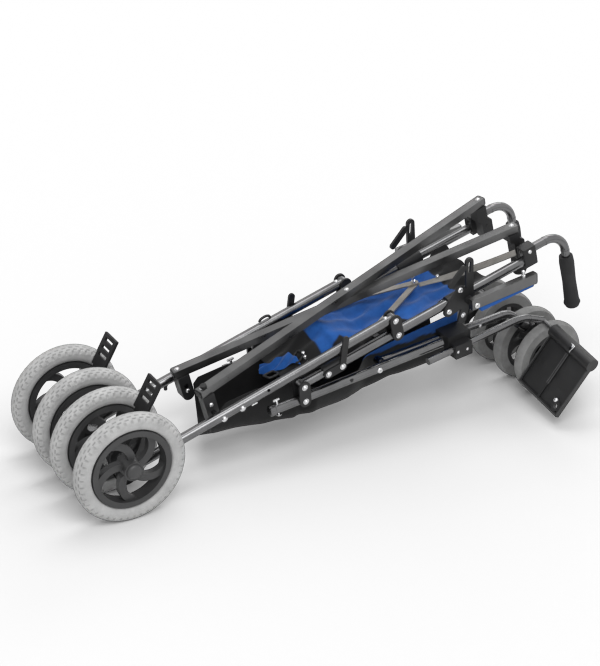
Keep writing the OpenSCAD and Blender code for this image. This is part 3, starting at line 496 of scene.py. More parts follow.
def two_part_wheel(name, centre, radius, tyre, rim):
    """Grey tyre outside a radius about the wheel's axle and black plastic inside it, by distance in Object
    space."""
    m, shader = new_material(name)
    spot = shader.coord("Object")
    away = shader.node("VectorMath", spot, centre, operation="SUBTRACT").outputs[0]
    flat = shader.node("VectorMath", away, (1.0, 0.0, 1.0), operation="MULTIPLY").outputs[0]
    length = shader.node("VectorMath", flat, operation="LENGTH").outputs["Value"]
    cloud = shader.noise(spot, scale=30.0, detail=6.0, rough=0.65)
    pores = shader.noise(spot, scale=620.0, detail=3.0)
    inside = shader.ramp(cloud, (0.3, rim[0]), (0.75, rim[1]))
    outside = shader.ramp(cloud, (0.3, tyre[0]), (0.72, tyre[1]))
    shader.surface(Base_Color=shader.mix(shader.math("GREATER_THAN", length, radius), inside, outside),
                   Roughness=shader.ramp(pores, (0.3, 0.6), (0.8, 0.82)))
    shader.bump(pores, strength=0.25, distance=0.0005)
    return m


BLUES = ((0.007, 0.058, 0.235), (0.014, 0.1, 0.37))
BLACKS = ((0.003, 0.003, 0.0035), (0.009, 0.009, 0.0095))
WEBBING_GREYS = ((0.16, 0.155, 0.145), (0.26, 0.25, 0.235))
CASTER_GREYS = ((0.15, 0.15, 0.149), (0.25, 0.25, 0.248))
CASTER_BLACKS = ((0.009, 0.009, 0.01), (0.018, 0.018, 0.019))
CASTER_RIM_R = 0.061

TUBE_METAL = metal_finish("tube_metal", (0.14, 0.14, 0.143), (0.185, 0.185, 0.188), 0.21)
BRACE_METAL = metal_finish("brace_metal", (0.125, 0.125, 0.126), (0.17, 0.17, 0.171), 0.3)
SPREADER_METAL = metal_finish("spreader_metal", (0.26, 0.245, 0.225), (0.33, 0.31, 0.285), 0.45, 0.7)
ZINC = metal_finish("zinc_bolt", (0.62, 0.62, 0.63), (0.75, 0.75, 0.76), 0.22)
BRACKET_PLASTIC = plastic_finish("bracket_plastic", (0.009, 0.009, 0.0095), (0.017, 0.017, 0.018), 0.42,
                                 shine=0.35)
PEDAL_PLASTIC = plastic_finish("pedal_plastic", (0.005, 0.005, 0.0055), (0.01, 0.01, 0.011), 0.5, shine=0.22)
RIM_PLASTIC = plastic_finish("rim_plastic", (0.026, 0.026, 0.027), (0.04, 0.04, 0.041), 0.4)
PLATE_PLASTIC = plastic_finish("footplate_plastic", (0.009, 0.009, 0.0095), (0.018, 0.018, 0.0185), 0.4,
                               grain_scale=420.0, bump=0.5, shine=0.45)
GRIP_FOAM = plastic_finish("grip_foam", (0.018, 0.018, 0.019), (0.03, 0.03, 0.031), 0.8,
                           grain_scale=1100.0, bump=0.6, shine=0.3)
# The last grey is painted shade, laid in the tyre's grooves and notches
TYRE_RUBBER = tyre_finish("tyre_rubber", (0.33, 0.33, 0.33), (0.47, 0.47, 0.468), (0.11, 0.11, 0.11))
CASTER_RUBBER = two_part_wheel("caster_rubber", tuple(place(CASTER_AXLE)), CASTER_RIM_R, CASTER_GREYS,
                               CASTER_BLACKS)
# On the back cloth the black second colours give both its black parts and painted shade
BLUE_CLOTH = cloth_finish("blue_cloth", BLUES, 0.0022, rough=0.8, sheen=0.12, second=BLACKS)
PAD_CLOTH = cloth_finish("pad_cloth", BLUES, 0.0022, rough=0.8, sheen=0.12)
GREY_WEBBING = cloth_finish("grey_webbing", WEBBING_GREYS, 0.0028, rough=0.75, sheen=0.1)
SEAT_CLOTH = cloth_finish("seat_cloth", BLUES, 0.0024, rough=0.85, sheen=0.1, second=BLACKS)

# Finishes of the frame's own nodes, by how their names begin
NODE_FINISH = {
    "seat_rail": TUBE_METAL, "back_post": TUBE_METAL, "rear_leg": TUBE_METAL, "front_leg": TUBE_METAL,
    "handle_cane": TUBE_METAL, "hanger": TUBE_METAL, "brace_tube": BRACE_METAL, "armrest": BRACE_METAL,
    "spreader": SPREADER_METAL, "rear_axle": ZINC, "grip": GRIP_FOAM, "footplate": PLATE_PLASTIC,
    "brake_pedal": PEDAL_PLASTIC, "rear_rim": RIM_PLASTIC, "rear_tyre": TYRE_RUBBER,
    "caster_wheel": CASTER_RUBBER, "seat_sling": SEAT_CLOTH, "back_sling": BLUE_CLOTH,
}
for node, shown in frame["nodes"].items():
    finish = next((m for k, m in NODE_FINISH.items() if node.startswith(k)), BRACKET_PLASTIC)
    shown.data.materials.clear()
    shown.data.materials.append(finish)


# Rear tyres with rows of short grooves

TYRE_R, TYRE_W, TYRE_SEAT_R = AXLE[2], 35.0, 82.6
TYRE_RINGS, TYRE_SPOKES = 736, 64
SECTION_POWER = 0.84
CROWN_R = 17.0
TREAD_COUNT = 46
# Rows of grooves: place across the crown and turn of their pattern in radians
TREAD_ROWS = ((-11.2, 0.0), (-3.8, 3.1), (3.8, 0.0), (11.2, 3.1))
GROOVE_HALF, GROOVE_DEEP, NOTCH_DEEP, LINE_DEEP = 1.25, 2.2, 2.1, 0.6
# Parts of the section, as angles from the crown
CROWN_END = (0.98, 1.14)
NOTCH_BAND = (0.78, 0.95, 1.2, 1.42)
LINE_AT, LINE_HALF = 1.5, 0.05
# Parts of one repeat, as heights of its sine, and the turns of the notches on the left and right shoulders
DASH, NOTCH = (-0.35, 0.15), (0.35, 0.8)
NOTCH_TURN_LEFT, NOTCH_TURN_RIGHT = 1.2, 4.0


def tyre_points(y):
    """Ring surface: a rounded section (angle a from the crown) carried round the axle by b. The crown is
    pressed in by four rows of short grooves and the shoulders by notches, both repeating TREAD_COUNT times,
    and a fine line runs round each flank. Gives the points and how deep in the grooves and notches each
    lies, which the material paints as shade."""
    b = around(TYRE_RINGS)[:, None]
    t = around(TYRE_SPOKES)[None, :] - np.pi
    a = t - 0.5 * np.sin(t)
    flank = np.abs(a)
    mid, deep, half = (TYRE_R + TYRE_SEAT_R) / 2, (TYRE_R - TYRE_SEAT_R) / 2, TYRE_W / 2
    r = mid + deep * signed_power(np.cos(a), SECTION_POWER)
    w = half * signed_power(np.sin(a), SECTION_POWER)
    crown = 1 - smoothstep(*CROWN_END, flank)
    press = sum(smoothstep(*DASH, np.sin(TREAD_COUNT * b + turn)) * ridge(CROWN_R * a - row, GROOVE_HALF)
                for row, turn in TREAD_ROWS)
    notch_turn = np.where(a > 0, NOTCH_TURN_LEFT, NOTCH_TURN_RIGHT)
    notch = smoothstep(*NOTCH, np.sin(TREAD_COUNT * b + notch_turn)) * window(flank, NOTCH_BAND)
    inward = GROOVE_DEEP * crown * np.clip(press, 0, 1) + NOTCH_DEEP * notch
    r = r - inward * np.cos(a)
    w = w - inward * np.sin(a) - LINE_DEEP * ridge(flank - LINE_AT, LINE_HALF) * np.sign(a)
    points = np.stack([AXLE[0] + r * np.cos(b), y + w, AXLE[2] + r * np.sin(b)], -1)
    return place(points), np.clip(0.6 * crown * press + 0.2 * notch, 0, 1)


HUB_CAP = [(0.0, 9.0), (7.0, 8.6), (12.5, 7.2), (15.6, 4.4), (16.4, 1.0), (16.4, -1.0), (0.0, -1.0)]
HUB_FACE = 167.5

for side_name, g in SIDES:
    for twin, off in (("outer", TWIN_GAP), ("inner", -TWIN_GAP)):
        tyre_pts, groove_shade = tyre_points(g * (FRAME_Y + off))
        tyre = make_piece(f"tyre_{side_name}_{twin}", tyre_pts,
                          outward(tyre_pts, grid_faces(TYRE_RINGS, TYRE_SPOKES, True, True)), TYRE_RUBBER)
        # Painted shade for the grooves and notches, kept on the tyre's points
        mark_points(tyre, "groove_shade", groove_shade)
        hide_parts(f"rear_tyre_{side_name}_{twin}")
        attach(tyre, f"rear_wheel_{side_name}_{twin}")
    solid_piece(f"hub_cap_{side_name}", [knob(at_y(AXLE, g * HUB_FACE), (0, g, 0), HUB_CAP, segments=36)],
                RIM_PLASTIC, f"rear_wheel_{side_name}_outer")


# Cloth

CLOTH_T = 0.0014
SEW_Y = 84.2


def cloth_uv(points):
    """Map of a sheet in metres of cloth: running length along each way of the grid."""
    du = np.linalg.norm(np.diff(points, axis=0), axis=2).mean(1)
    dv = np.linalg.norm(np.diff(points, axis=1), axis=2).mean(0)
    u = np.concatenate([[0], np.cumsum(du)])
    v = np.concatenate([[0], np.cumsum(dv)])
    return np.stack(np.meshgrid(u, v, indexing="ij"), -1)


def cloth_piece(name, points, material, mask=None):
    """Thin two-sided sheet over a grid of points, its upper and lower faces half a thickness off it."""
    nu, nv = points.shape[:2]
    normal = np.cross(np.gradient(points, axis=0), np.gradient(points, axis=1))
    normal /= np.linalg.norm(normal, axis=2)[..., None]
    up, low = points + normal * CLOTH_T / 2, points - normal * CLOTH_T / 2
    faces = grid_faces(nu, nv)
    n = nu * nv
    rim = np.concatenate([np.arange(nv), np.arange(1, nu) * nv + nv - 1,
                          (nu - 1) * nv + np.arange(nv - 2, -1, -1), np.arange(nu - 2, 0, -1) * nv])
    nxt = np.roll(rim, -1)
    sides = np.stack([rim, rim + n, nxt + n, nxt], -1)
    piece = make_piece(name, np.concatenate([up.reshape(-1, 3), low.reshape(-1, 3)]),
                       np.concatenate([faces, faces[:, ::-1] + n, sides[:, ::-1]]), material,
                       uv=np.concatenate([cloth_uv(points).reshape(-1, 2)] * 2))
    if mask is not None:
        mark_points(piece, "panel", np.concatenate([mask.ravel()] * 2))
    return piece


def with_back(piece):
    """Bakes the piece's placing into its points, as for the back cloth."""
    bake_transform(piece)


SEAT_GRID = (190, 110)
SEAT_REAR, SEAT_SLANT, SEAT_FRONT = -119.0, 27.0, 492.0
SEAT_FREE_Y = 58.5
SEAT_SEWN = (92.0, 122.0, 200.0, 262.0)
# Along the rail: height of the cloth's edge over the rail's axis, depth of its bottom below it, and the
# height above which its front edges are blue
SEAT_EDGE = ((-146, 8), (-105, 10), (-80, 34), (-10, 38), (68, 22), (147, 2), (225, 0), (245, 14), (303, 22),
             (341, 25), (418, 29), (492, 34))
SEAT_LOW = ((-146, 34), (-129, 38), (-50, 54), (0, 69), (83, 88), (110, 82), (130, 78), (215, 78), (240, 82),
            (269, 84), (325, 82), (389, 85), (440, 87), (492, 78))
SEAT_BLUE = ((245, 11), (341, 8), (418, 5), (485, 1))
SEAT_BLUE_START, SEAT_BLUE_BLUR = (206.0, 214.0), (-1.0, 2.0)
SEAT_PLEATS = ((1.5, 2.5, 0.9, 0.0), (0.9, 7.0, -1.7, 1.0))
SEAT_RIPPLES = ((0.5, 13.0, 3.0, 0.4),)


def seat_cloth():
    """Trough below the rails: edge height and depth follow broken lines along the rail, the section falls
    from edge to bottom as 1 - |v|^6, and shallow slanting pleats are added, still at the edges. The hem at
    the rear runs aslant. Black, with its front edges blue above the rails."""
    t = np.linspace(0, 1, SEAT_GRID[0])[:, None]
    v = np.sin(np.linspace(-np.pi / 2, np.pi / 2, SEAT_GRID[1]))[None, :]
    start = SEAT_REAR + SEAT_SLANT * v
    s = start + (SEAT_FRONT - start) * t
    sewn = window(s, SEAT_SEWN)
    half = SEAT_FREE_Y + (SEW_Y - SEAT_FREE_Y) * sewn
    edge = line_through(SEAT_EDGE, s) * (1 - sewn)
    rise = edge - (line_through(SEAT_LOW, s) + edge) * (1 - np.abs(v) ** 6)
    rise = rise + (1 - v ** 2) ** 0.7 * (waves(SEAT_PLEATS, t, v) + waves(SEAT_RIPPLES, t, v * t))
    p = on_rail(s[..., None], rise[..., None])
    p[..., 1] = half * v
    above = rise - line_through(SEAT_BLUE, s) + 2 * np.sin(0.09 * s)
    return place(p), 1 - smoothstep(*SEAT_BLUE_BLUR, above) * smoothstep(*SEAT_BLUE_START, s)


seat_points, seat_mask = seat_cloth()
seat_sling = cloth_piece("seat_cloth", seat_points, SEAT_CLOTH, seat_mask)
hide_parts("seat_sling")
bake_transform(seat_sling)

BACK_GRID = (210, 104)
BACK_START, BACK_LEN = -14.0, 510.0
BACK_FREE_Y, BACK_HALF, BACK_SAG = 73.0, 80.0, 3.0
BACK_SEWN = ((98.0, 118.0, 152.0, 176.0), (258.0, 282.0, 352.0, 366.0))
BACK_TOP_SEWN = (440.0, 460.0)
# Height of the hump at even steps along its own length
HUMP_LEN, HUMP_UP = 532.0, 52.0
HUMP = (-0.05, 0.25, 0.75, 0.95, 0.5, 0.08, 0.04, 0, -0.1, -0.25, -0.35, -0.4, -0.45, -0.5)
BACK_FOLDS = ((3.2, 0.35, 1.6, 0.0),)
BACK_PLEATS = ((2.2, 6.0, 0.8, 0.0),)
BACK_CREASES = ((1.1, -9.0, 2.3, 0.7),)
CREASE_START = (30.0, 140.0)
# Where black begins along the post at the foot and the top, and across as shares of the half width, and the
# softness of the edge of painted shade along the right edge
BLACK_FOOT, BLACK_TOP, BLACK_EDGE, SHADE_BLUR = (77.0, 80.0), (420.0, 424.0), (0.93, 0.95), 0.02
# Edge of painted shade, laid in black along the right edge under the hump: place along the post and share of
# the half width
SHADE_EDGE = ((88, -0.98), (106, -0.8), (127, -0.66), (143, -0.8), (159, -0.84), (172, -0.72), (185, -0.62),
        (220, -0.55), (254, -0.46), (268, -0.7), (280, -0.98))


def back_rise(s, v):
    """Height of the back cloth over the posts' plane and its half width: a hump near its lower end,
    flattened by 1 - v^4 towards its sewn edges, with lengthwise pleats and a few cross creases."""
    t = (s - BACK_START) / HUMP_LEN
    sewn = sum(window(s, edges) for edges in BACK_SEWN) + smoothstep(*BACK_TOP_SEWN, s)
    hump = HUMP_UP * np.interp(t, np.linspace(0, 1, len(HUMP)), HUMP)
    pleat = waves(BACK_FOLDS, np.sin(5 * t), v) + waves(BACK_PLEATS, t, v)
    pleat = pleat + waves(BACK_CREASES, t, v) * smoothstep(*CREASE_START, s)
    rise = hump * (1 - v ** 4) + pleat * (1 - v ** 2) - BACK_SAG * (1 - sewn)
    return rise, BACK_FREE_Y + (SEW_Y - BACK_FREE_Y) * sewn


def on_back(s, y, up):
    """Points over the back cloth at places (s, y), up off it."""
    s, y = np.asarray(s, float), np.asarray(y, float)
    rise = back_rise(s, np.clip(y / BACK_HALF, -1, 1))[0] + up
    p = on_post(s[..., None], rise[..., None])
    p[..., 1] = y
    return p


def back_cloth():
    """Sheet between the posts on the height of back_rise, black below the hump, along its edges and at its
    top, and painted shade in black over a scalloped strip along its right edge."""
    t = np.linspace(0, 1, BACK_GRID[0])[:, None]
    v = np.linspace(-1, 1, BACK_GRID[1])[None, :]
    s = BACK_START + BACK_LEN * t
    rise, half = back_rise(s, v)
    p = on_post(s[..., None], rise[..., None])
    p[..., 1] = half * v
    shade_edge = line_through(SHADE_EDGE, s)
    dark = 1 - smoothstep(*BLACK_FOOT, s - 3 * v) + smoothstep(*BLACK_TOP, s)
    # The last term is painted shade: black below a scalloped line along the right edge
    dark = dark + smoothstep(*BLACK_EDGE, np.abs(v)) + 1 - smoothstep(shade_edge - SHADE_BLUR, shade_edge + SHADE_BLUR, v)
    return place(p), np.clip(dark, 0, 1)


back_points, back_black_and_shade = back_cloth()
back_sling = cloth_piece("back_cloth", back_points, BLUE_CLOTH, back_black_and_shade)
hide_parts("back_sling")
with_back(back_sling)

# Top strap: where it starts and how it runs (along the post, off the middle plane, above the post)
STRAP_START = (361.0, -4.0, 7.0)
STRAP_ALONG, STRAP_ASIDE, STRAP_UP = 203.0, -78.5, 13.0
STRAP_WIDE, STRAP_NARROWS, STRAP_SAG, STRAP_TWIST = 15.0, 2.0, 5.0, 1.1
STRAP_TWISTS = (0.05, 0.6)
STRAP_GRID = (60, 9)


def strap_points():
    """Taut webbing from where the spreader bars meet to the right handle block: a straight run along u with
    a slight sag, its width flat in the posts' plane at first and turned upright towards the block."""
    u = np.linspace(0, 1, STRAP_GRID[0])[:, None, None]
    w = np.linspace(-0.5, 0.5, STRAP_GRID[1])[None, :, None] * (STRAP_WIDE - STRAP_NARROWS * u)
    rise = across(POST)
    run = STRAP_ALONG * along(POST) + np.array([0, STRAP_ASIDE, 0]) + STRAP_UP * rise
    flat = np.cross(rise, run / np.linalg.norm(run))
    twist = STRAP_TWIST * smoothstep(*STRAP_TWISTS, u)
    start = at_y(on_post(STRAP_START[0], STRAP_START[2]), STRAP_START[1])
    centre = start + run * u - STRAP_SAG * np.sin(np.pi * u) * rise
    return centre + w * (np.cos(twist) * flat + np.sin(twist) * rise)


strap_pts = place(strap_points())
top_strap = cloth_piece("top_strap", strap_pts, GREY_WEBBING)
with_back(top_strap)

TAB_GRID = (60, 48)
TAB_FOOT, TAB_LONG, TAB_SKEW = -30.0, 58.0, 14.0
TAB_SIDE, TAB_SLANT, TAB_WIDE, TAB_WIDENS = 19.0, 26.0, 16.0, 30.0
TAB_UP, TAB_LOBE = 6.0, 7.0
TAB_RIPPLES = ((2.5, 2.2, 1.4, 0.0),)


def tab_points():
    """Bunched tab at the foot of the back cloth: a tongue along u, widening and slanting, that rises across
    w in one soft lobe, which swells and falls along u, with ripples over it."""
    u = np.linspace(0, 1, TAB_GRID[0])[:, None]
    w = np.linspace(0, 1, TAB_GRID[1])[None, :]
    s = TAB_FOOT + TAB_LONG * u - TAB_SKEW * w * (1 - u)
    y = TAB_SIDE - TAB_SLANT * u - (TAB_WIDE + TAB_WIDENS * u ** 2) * w
    lobe = TAB_LOBE * np.sin(np.pi * w) * (0.6 + 0.4 * np.sin(7 * u + 1))
    return on_back(s, y, TAB_UP + lobe + waves(TAB_RIPPLES, u, w))


tab_pts = place(tab_points())
blue_tab = cloth_piece("blue_tab", tab_pts, BLUE_CLOTH, np.zeros(tab_pts.shape[:2]))
with_back(blue_tab)

# Buckle loops on the tab: middle, half length and half width, and height over the cloth
BUCKLE_WIRE, BUCKLE_POWER = 2.6, 0.45
BUCKLE_LOOPS = (((-30.0, -24.0), (13.0, 14.0), 10.0), ((33.0, -36.0), (10.0, 12.0), 7.0))


def loop_bar(centre, half, up):
    """Rounded ring of wire lying on the back cloth, as the frame of a buckle. The wire's own section takes
    every fourth of the ring's angles."""
    k = np.linspace(0, 2 * np.pi, 48)
    path = np.array(centre) + np.array(half) * signed_power(ring(k), BUCKLE_POWER)
    return tube_along(on_back(path[:, 0], path[:, 1], up), BUCKLE_WIRE * ring(4 * k[:12]))


buckle = solid_piece("tab_buckle", [loop_bar(*loop) for loop in BUCKLE_LOOPS],
                     BRACKET_PLASTIC, None, sharp=60.0)
with_back(buckle)


# Bolts, knobs and trim

# Profiles of (radius, height) rows
BOLT_HEAD = np.array([(0.0, 3.4), (2.0, 3.3), (3.9, 2.6), (4.8, 1.2), (5.0, 0.0), (6.6, 0.0), (6.6, -0.9),
                      (0.0, -0.9)])
RIVET = [(0.0, 0.7), (1.9, 0.7), (2.3, 2.6), (4.4, 3.0), (6.0, 1.9), (6.7, 0.0), (6.7, -0.9), (0.0, -0.9)]
PIN_HEAD = [(0.0, 17.0), (2.2, 16.8), (3.6, 15.4), (3.6, 10.8), (2.4, 9.8), (2.4, 6.4), (4.4, 5.6),
            (4.4, 0.0), (0.0, 0.0)]
FLAT_HEAD = BOLT_HEAD * [0.8, 0.5]
PLUG_HEAD = BOLT_HEAD * [0.75, 0.4]

# Outer faces that heads sit on, from the middle plane
HINGE_FACE, JOINT_FACE, BLOCK_FACE, CLAMP_FACE = 110.0, 110.6, 107.4, 126.9
LEG_FACE, KNEE_FACE, PLUG_FACE, FRONT_FACE, ARM_FACE = 104.7, 104.9, 104.6, 83.4, 143.9

# Where they sit: along the tube and above its axis
RAIL_PIN = (76.3, 0.0)
KNEE_RIVET = (259.7, 0.0)
RAIL_PLUG = (190.5, 2.0)
LEG_BOLTS = ((416.0, -2.5), (373.0, -2.5))
LEG_STUD = (15.0, 9.6)
LEG_CLIP = ((352.0, -10.5), (338.0, -10.5))
HOOK_BOLTS = ((58.7, 0.0), (93.4, 0.0))
JOINT_RIVETS = ((397.0, 26.0), (360.7, -10.5))
JOINT_BOLT = (393.0, -37.0)
BLOCK_BOLT = (583.0, 23.0)
CLAMP_BOLTS = ((443.6, -16.0), (467.4, -17.0))
FRONT_BOLT = (256.0, 0.0)
ARM_PIN = (127.0, 15.8)
ARM_CAP = ((155.5, 4.0), (159.5, 4.0))

# Rods: both ends and radius
COLLAR = ((-2.5, 0.0), (11.0, 0.0), 11.4)
T_BOLT = (((19.0, -17.0), (16.0, 20.0), 2.6), ((8.0, 20.5), (23.0, 21.5), 2.3))
T_BOLT_HEAD = (19.0, -15.0)
LEG_PEG = (((450.0, -9.0), (452.0, -21.0), 3.4), ((450.0, -8.8), (450.6, -12.0), 5.4))

# Widths, heights and bevels of the clip and the cap, and how far the clip sits outside the leg's middle
CLIP_SIZE, CLIP_BEVEL, CLIP_OUT = (9.0, 3.0), 0.8, 2.0
CAP_SIZE, CAP_BEVEL = (13.6, 23.6), 1.2


def steel(name, sweeps, body):
    """Bright steel piece on a body."""
    return solid_piece(name, sweeps, ZINC, body)


def black(name, sweeps, body):
    """Black plastic piece on a body."""
    return solid_piece(name, sweeps, BRACKET_PLASTIC, body)


def head(p, g, face, profile=BOLT_HEAD):
    """Head on an outer face of side g, pointing outwards."""
    return knob(at_y(p, g * face), (0, g, 0), profile)


def rods(on_tube, y, rows, **ends):
    """Rods beside a tube, each from one place on it to another."""
    return [rod(at_y(on_tube(*a), y), at_y(on_tube(*b), y), r, **ends) for a, b, r in rows]


def rail_trim(side_name, g):
    """Hinge bolts and knee rivet, a collar at the rail's rear end, the T-shaped bolt through it and a
    plug."""
    body, y = f"seat_{side_name}", g * FRAME_Y
    steel(f"bolts_seat_{side_name}",
          [head(on_rail(*RAIL_PIN), g, HINGE_FACE), head(POST_LOW, g, HINGE_FACE),
           head(on_rail(*KNEE_RIVET), g, KNEE_FACE, RIVET)], body)
    solid_piece(f"rail_end_{side_name}", rods(on_rail, y, [COLLAR], bevel=1.6, segments=28),
                TUBE_METAL, body)
    steel(f"rail_bolt_{side_name}",
          rods(on_rail, y, T_BOLT) + [knob(at_y(on_rail(*T_BOLT_HEAD), y), -across(RAIL), BOLT_HEAD)], body)
    black(f"rail_plug_{side_name}", [head(on_rail(*RAIL_PLUG), g, PLUG_FACE, PLUG_HEAD)], body)


def leg_trim(side_name, g):
    """Hinge bolts, two bolts on the flank, a stud on top, a clip below and a black peg near the wheels."""
    body, y = f"leg_{side_name}", g * FRAME_Y
    clip = [at_y(on_leg(*spot), g * (FRAME_Y + CLIP_OUT)) for spot in LEG_CLIP]
    steel(f"bolts_leg_{side_name}",
          [head(LEG_PIN, g, HINGE_FACE), head(POST_PIN, g, HINGE_FACE),
           *(head(on_leg(*spot), g, LEG_FACE) for spot in LEG_BOLTS),
           knob(at_y(on_leg(*LEG_STUD), y), across(LEG), BOLT_HEAD * 0.8),
           bar(*clip, *CLIP_SIZE, across(LEG), CLIP_BEVEL)], body)
    black(f"leg_peg_{side_name}", rods(on_leg, y, LEG_PEG), body)


def post_trim(side_name, g):
    """Bolts of the fold hook, arm joint and handle block, and the rivet of the armrest's pivot."""
    steel(f"bolts_back_{side_name}",
          [*(head(on_post(*spot), g, HINGE_FACE) for spot in HOOK_BOLTS),
           *(head(on_post(*spot), g, JOINT_FACE, RIVET) for spot in JOINT_RIVETS),
           head(on_post(*JOINT_BOLT), g, JOINT_FACE, BOLT_HEAD * 0.85),
           head(on_post(*BLOCK_BOLT), g, BLOCK_FACE), head(ARM_PIVOT, g, ARM_FACE, RIVET)],
          f"back_{side_name}")


def front_trim(side_name, g):
    """Flat bolts on the footrest clamp and a small one on the front leg."""
    steel(f"bolts_front_{side_name}",
          [*(head(on_rail(*spot), g, CLAMP_FACE, FLAT_HEAD) for spot in CLAMP_BOLTS),
           head(on_front(*FRONT_BOLT), g, FRONT_FACE, BOLT_HEAD * 0.7)], f"front_{side_name}")


PAD_RINGS, PAD_SPOKES = 90, 40
PAD_START, PAD_LEN, PAD_TOP = 8.0, 144.0, -8.2
PAD_DEEP, PAD_NARROWS, PAD_HALF = 13.0, 8.5, 6.9
PAD_PANELS, SEAM_IN, SEAM_HALF, PAD_END = 5, 0.16, 0.16, 0.03
PAD_SIDE_POWER, PAD_UP_POWER = 0.55, 0.6


def pad_points(g):
    """Long pad under the armrest: a soft rectangular section (angle a) along u, its depth narrowing
    forwards, its sides drawn in at the seams between quilted panels and its ends closed."""
    u = np.linspace(0, 1, PAD_RINGS)[:, None]
    a = around(PAD_SPOKES)[None, :]
    end = np.clip(np.minimum(u, 1 - u) / PAD_END, 0, 1) ** 0.5
    puff = 1 - SEAM_IN * ridge(np.sin(PAD_PANELS * np.pi * u), SEAM_HALF)
    deep = (PAD_DEEP - PAD_NARROWS * u) * puff * end
    wide = PAD_HALF * (0.94 + 0.06 * puff) * end
    z = PAD_TOP - deep / 2 + deep / 2 * signed_power(np.sin(a), PAD_UP_POWER)
    p = on_arm((PAD_START + PAD_LEN * u)[..., None], z[..., None])
    p[..., 1] = g * ARM_Y + wide * signed_power(np.cos(a), PAD_SIDE_POWER)
    return place(p)


def armrest_trim(side_name, g):
    """End cap, spring pin and the pad below."""
    body, y = f"armrest_{side_name}", g * ARM_Y
    cap = [at_y(on_arm(*spot), y) for spot in ARM_CAP]
    black(f"armrest_cap_{side_name}", [bar(*cap, *CAP_SIZE, across(ARM), CAP_BEVEL)], body)
    steel(f"armrest_pin_{side_name}", [knob(at_y(on_arm(*ARM_PIN), y), across(ARM), PIN_HEAD)], body)
    pad_pts = pad_points(g)
    pad = make_piece(f"armrest_pad_{side_name}", pad_pts,
                     outward(pad_pts, grid_faces(PAD_RINGS, PAD_SPOKES, False, True)), PAD_CLOTH)
    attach(pad, body)


for side_name, g in SIDES:
    rail_trim(side_name, g)
    leg_trim(side_name, g)
    post_trim(side_name, g)
    front_trim(side_name, g)
    armrest_trim(side_name, g)

# Hook of bent wire on the left rear leg, as points along the leg and above it
HOOK_WIRE = 2.3
HOOK_ROUTE = ((184.0, 8.0), (184.0, 13.0), (186.0, 17.0), (191.0, 19.5), (198.0, 20.0), (204.0, 19.0),
              (208.0, 17.0), (210.0, 14.0))
hook_path = [at_y(on_leg(*spot), FRAME_Y) for spot in HOOK_ROUTE]
black("leg_hook_left", [bent_rod(hook_path, HOOK_WIRE)], "leg_left")

# Brace tubes: end caps and the bolts through them
BRACE_PAST = 14.0
BRACE_RUN = 2 * float(np.linalg.norm(BRACE_MID - BRACE_LOW))
BRACE_SPREAD = math.atan2(2 * BRACE_SPAN, BRACE_RUN)
BRACE_LEN = math.hypot(2 * BRACE_SPAN, BRACE_RUN)
BRACE_LAYER, BRACE_HALF = 8.15, 8.0
BRACE_CAP, BRACE_CAP_IN, BRACE_CAP_OUT = (19.6, 15.6), 0.3, 2.6
BRACE_BOLT_IN = 10.0


def on_brace(start_y, x, rise):
    """Place along a brace tube that starts at a low pivot and crosses to the other side, above the brace
    plane."""
    w = math.copysign(BRACE_SPREAD, -start_y)
    p = BRACE_LOW + x * math.cos(w) * along(BRACE) + rise * across(BRACE)
    return at_y(p, start_y + x * math.sin(w))


def brace_trim(body, start_y, layer, spots):
    """Caps on both ends of a brace tube and bolts at the places along it."""
    ends = ((-BRACE_PAST, -1), (BRACE_LEN + BRACE_PAST, 1))
    black(f"{body}_caps",
          [bar(on_brace(start_y, end - way * BRACE_CAP_IN, layer),
               on_brace(start_y, end + way * BRACE_CAP_OUT, layer), *BRACE_CAP, across(BRACE), CAP_BEVEL)
           for end, way in ends], body)
    steel(f"{body}_bolts", [knob(on_brace(start_y, x, layer + BRACE_HALF), across(BRACE), BOLT_HEAD * 0.75)
                            for x in spots], body)


brace_ends = [BRACE_BOLT_IN - BRACE_PAST, BRACE_LEN + BRACE_PAST - BRACE_BOLT_IN]
brace_trim("brace_over", -BRACE_SPAN, BRACE_LAYER, brace_ends + [BRACE_LEN / 2])
brace_trim("brace_under", BRACE_SPAN, -BRACE_LAYER, brace_ends)

# Bolts on the right faces of the lower brackets
BRACKET_HALF = 12.9
for side_name, g, up in (("right", -1.0, 19.0), ("left", 1.0, -12.0)):
    spot = at_y(LOW_PIN, g * BRACE_SPAN - BRACKET_HALF) + up * across(BRACE)
    steel(f"bolt_bracket_{side_name}", [knob(spot, (0, -1, 0), BOLT_HEAD)], f"low_bracket_{side_name}")

# Pin where the spreader bars meet, and studs on the cloth (along the post, aside, up)
SPREADER_PIN = (352.0, 16.0)
STUDS = ((404.0, -14.0, 20.5), (42.0, -48.0, -1.0))
steel("spreader_pin_right", [knob(on_post(*SPREADER_PIN), across(POST), PIN_HEAD)], "spreader_right")
studs = steel("strap_studs", [knob(on_back(*stud), across(POST), PIN_HEAD) for stud in STUDS], None)
with_back(studs)

# Frame of the footplate: columns are its directions down the plate, along its hinge and out of its tread
PLATE_LEAN = math.radians(63.0)
PLATE_PIN = row_place("footplate_flip") - SHIFT
PLATE_HINGE = -np.array(JOINTS["footplate_flip"]["axis"])
PLATE_UP = np.cross(FORWARD, PLATE_HINGE)
PLATE = np.stack([-math.cos(PLATE_LEAN) * FORWARD - math.sin(PLATE_LEAN) * PLATE_UP, PLATE_HINGE,
                  math.sin(PLATE_LEAN) * FORWARD - math.cos(PLATE_LEAN) * PLATE_UP], 1)

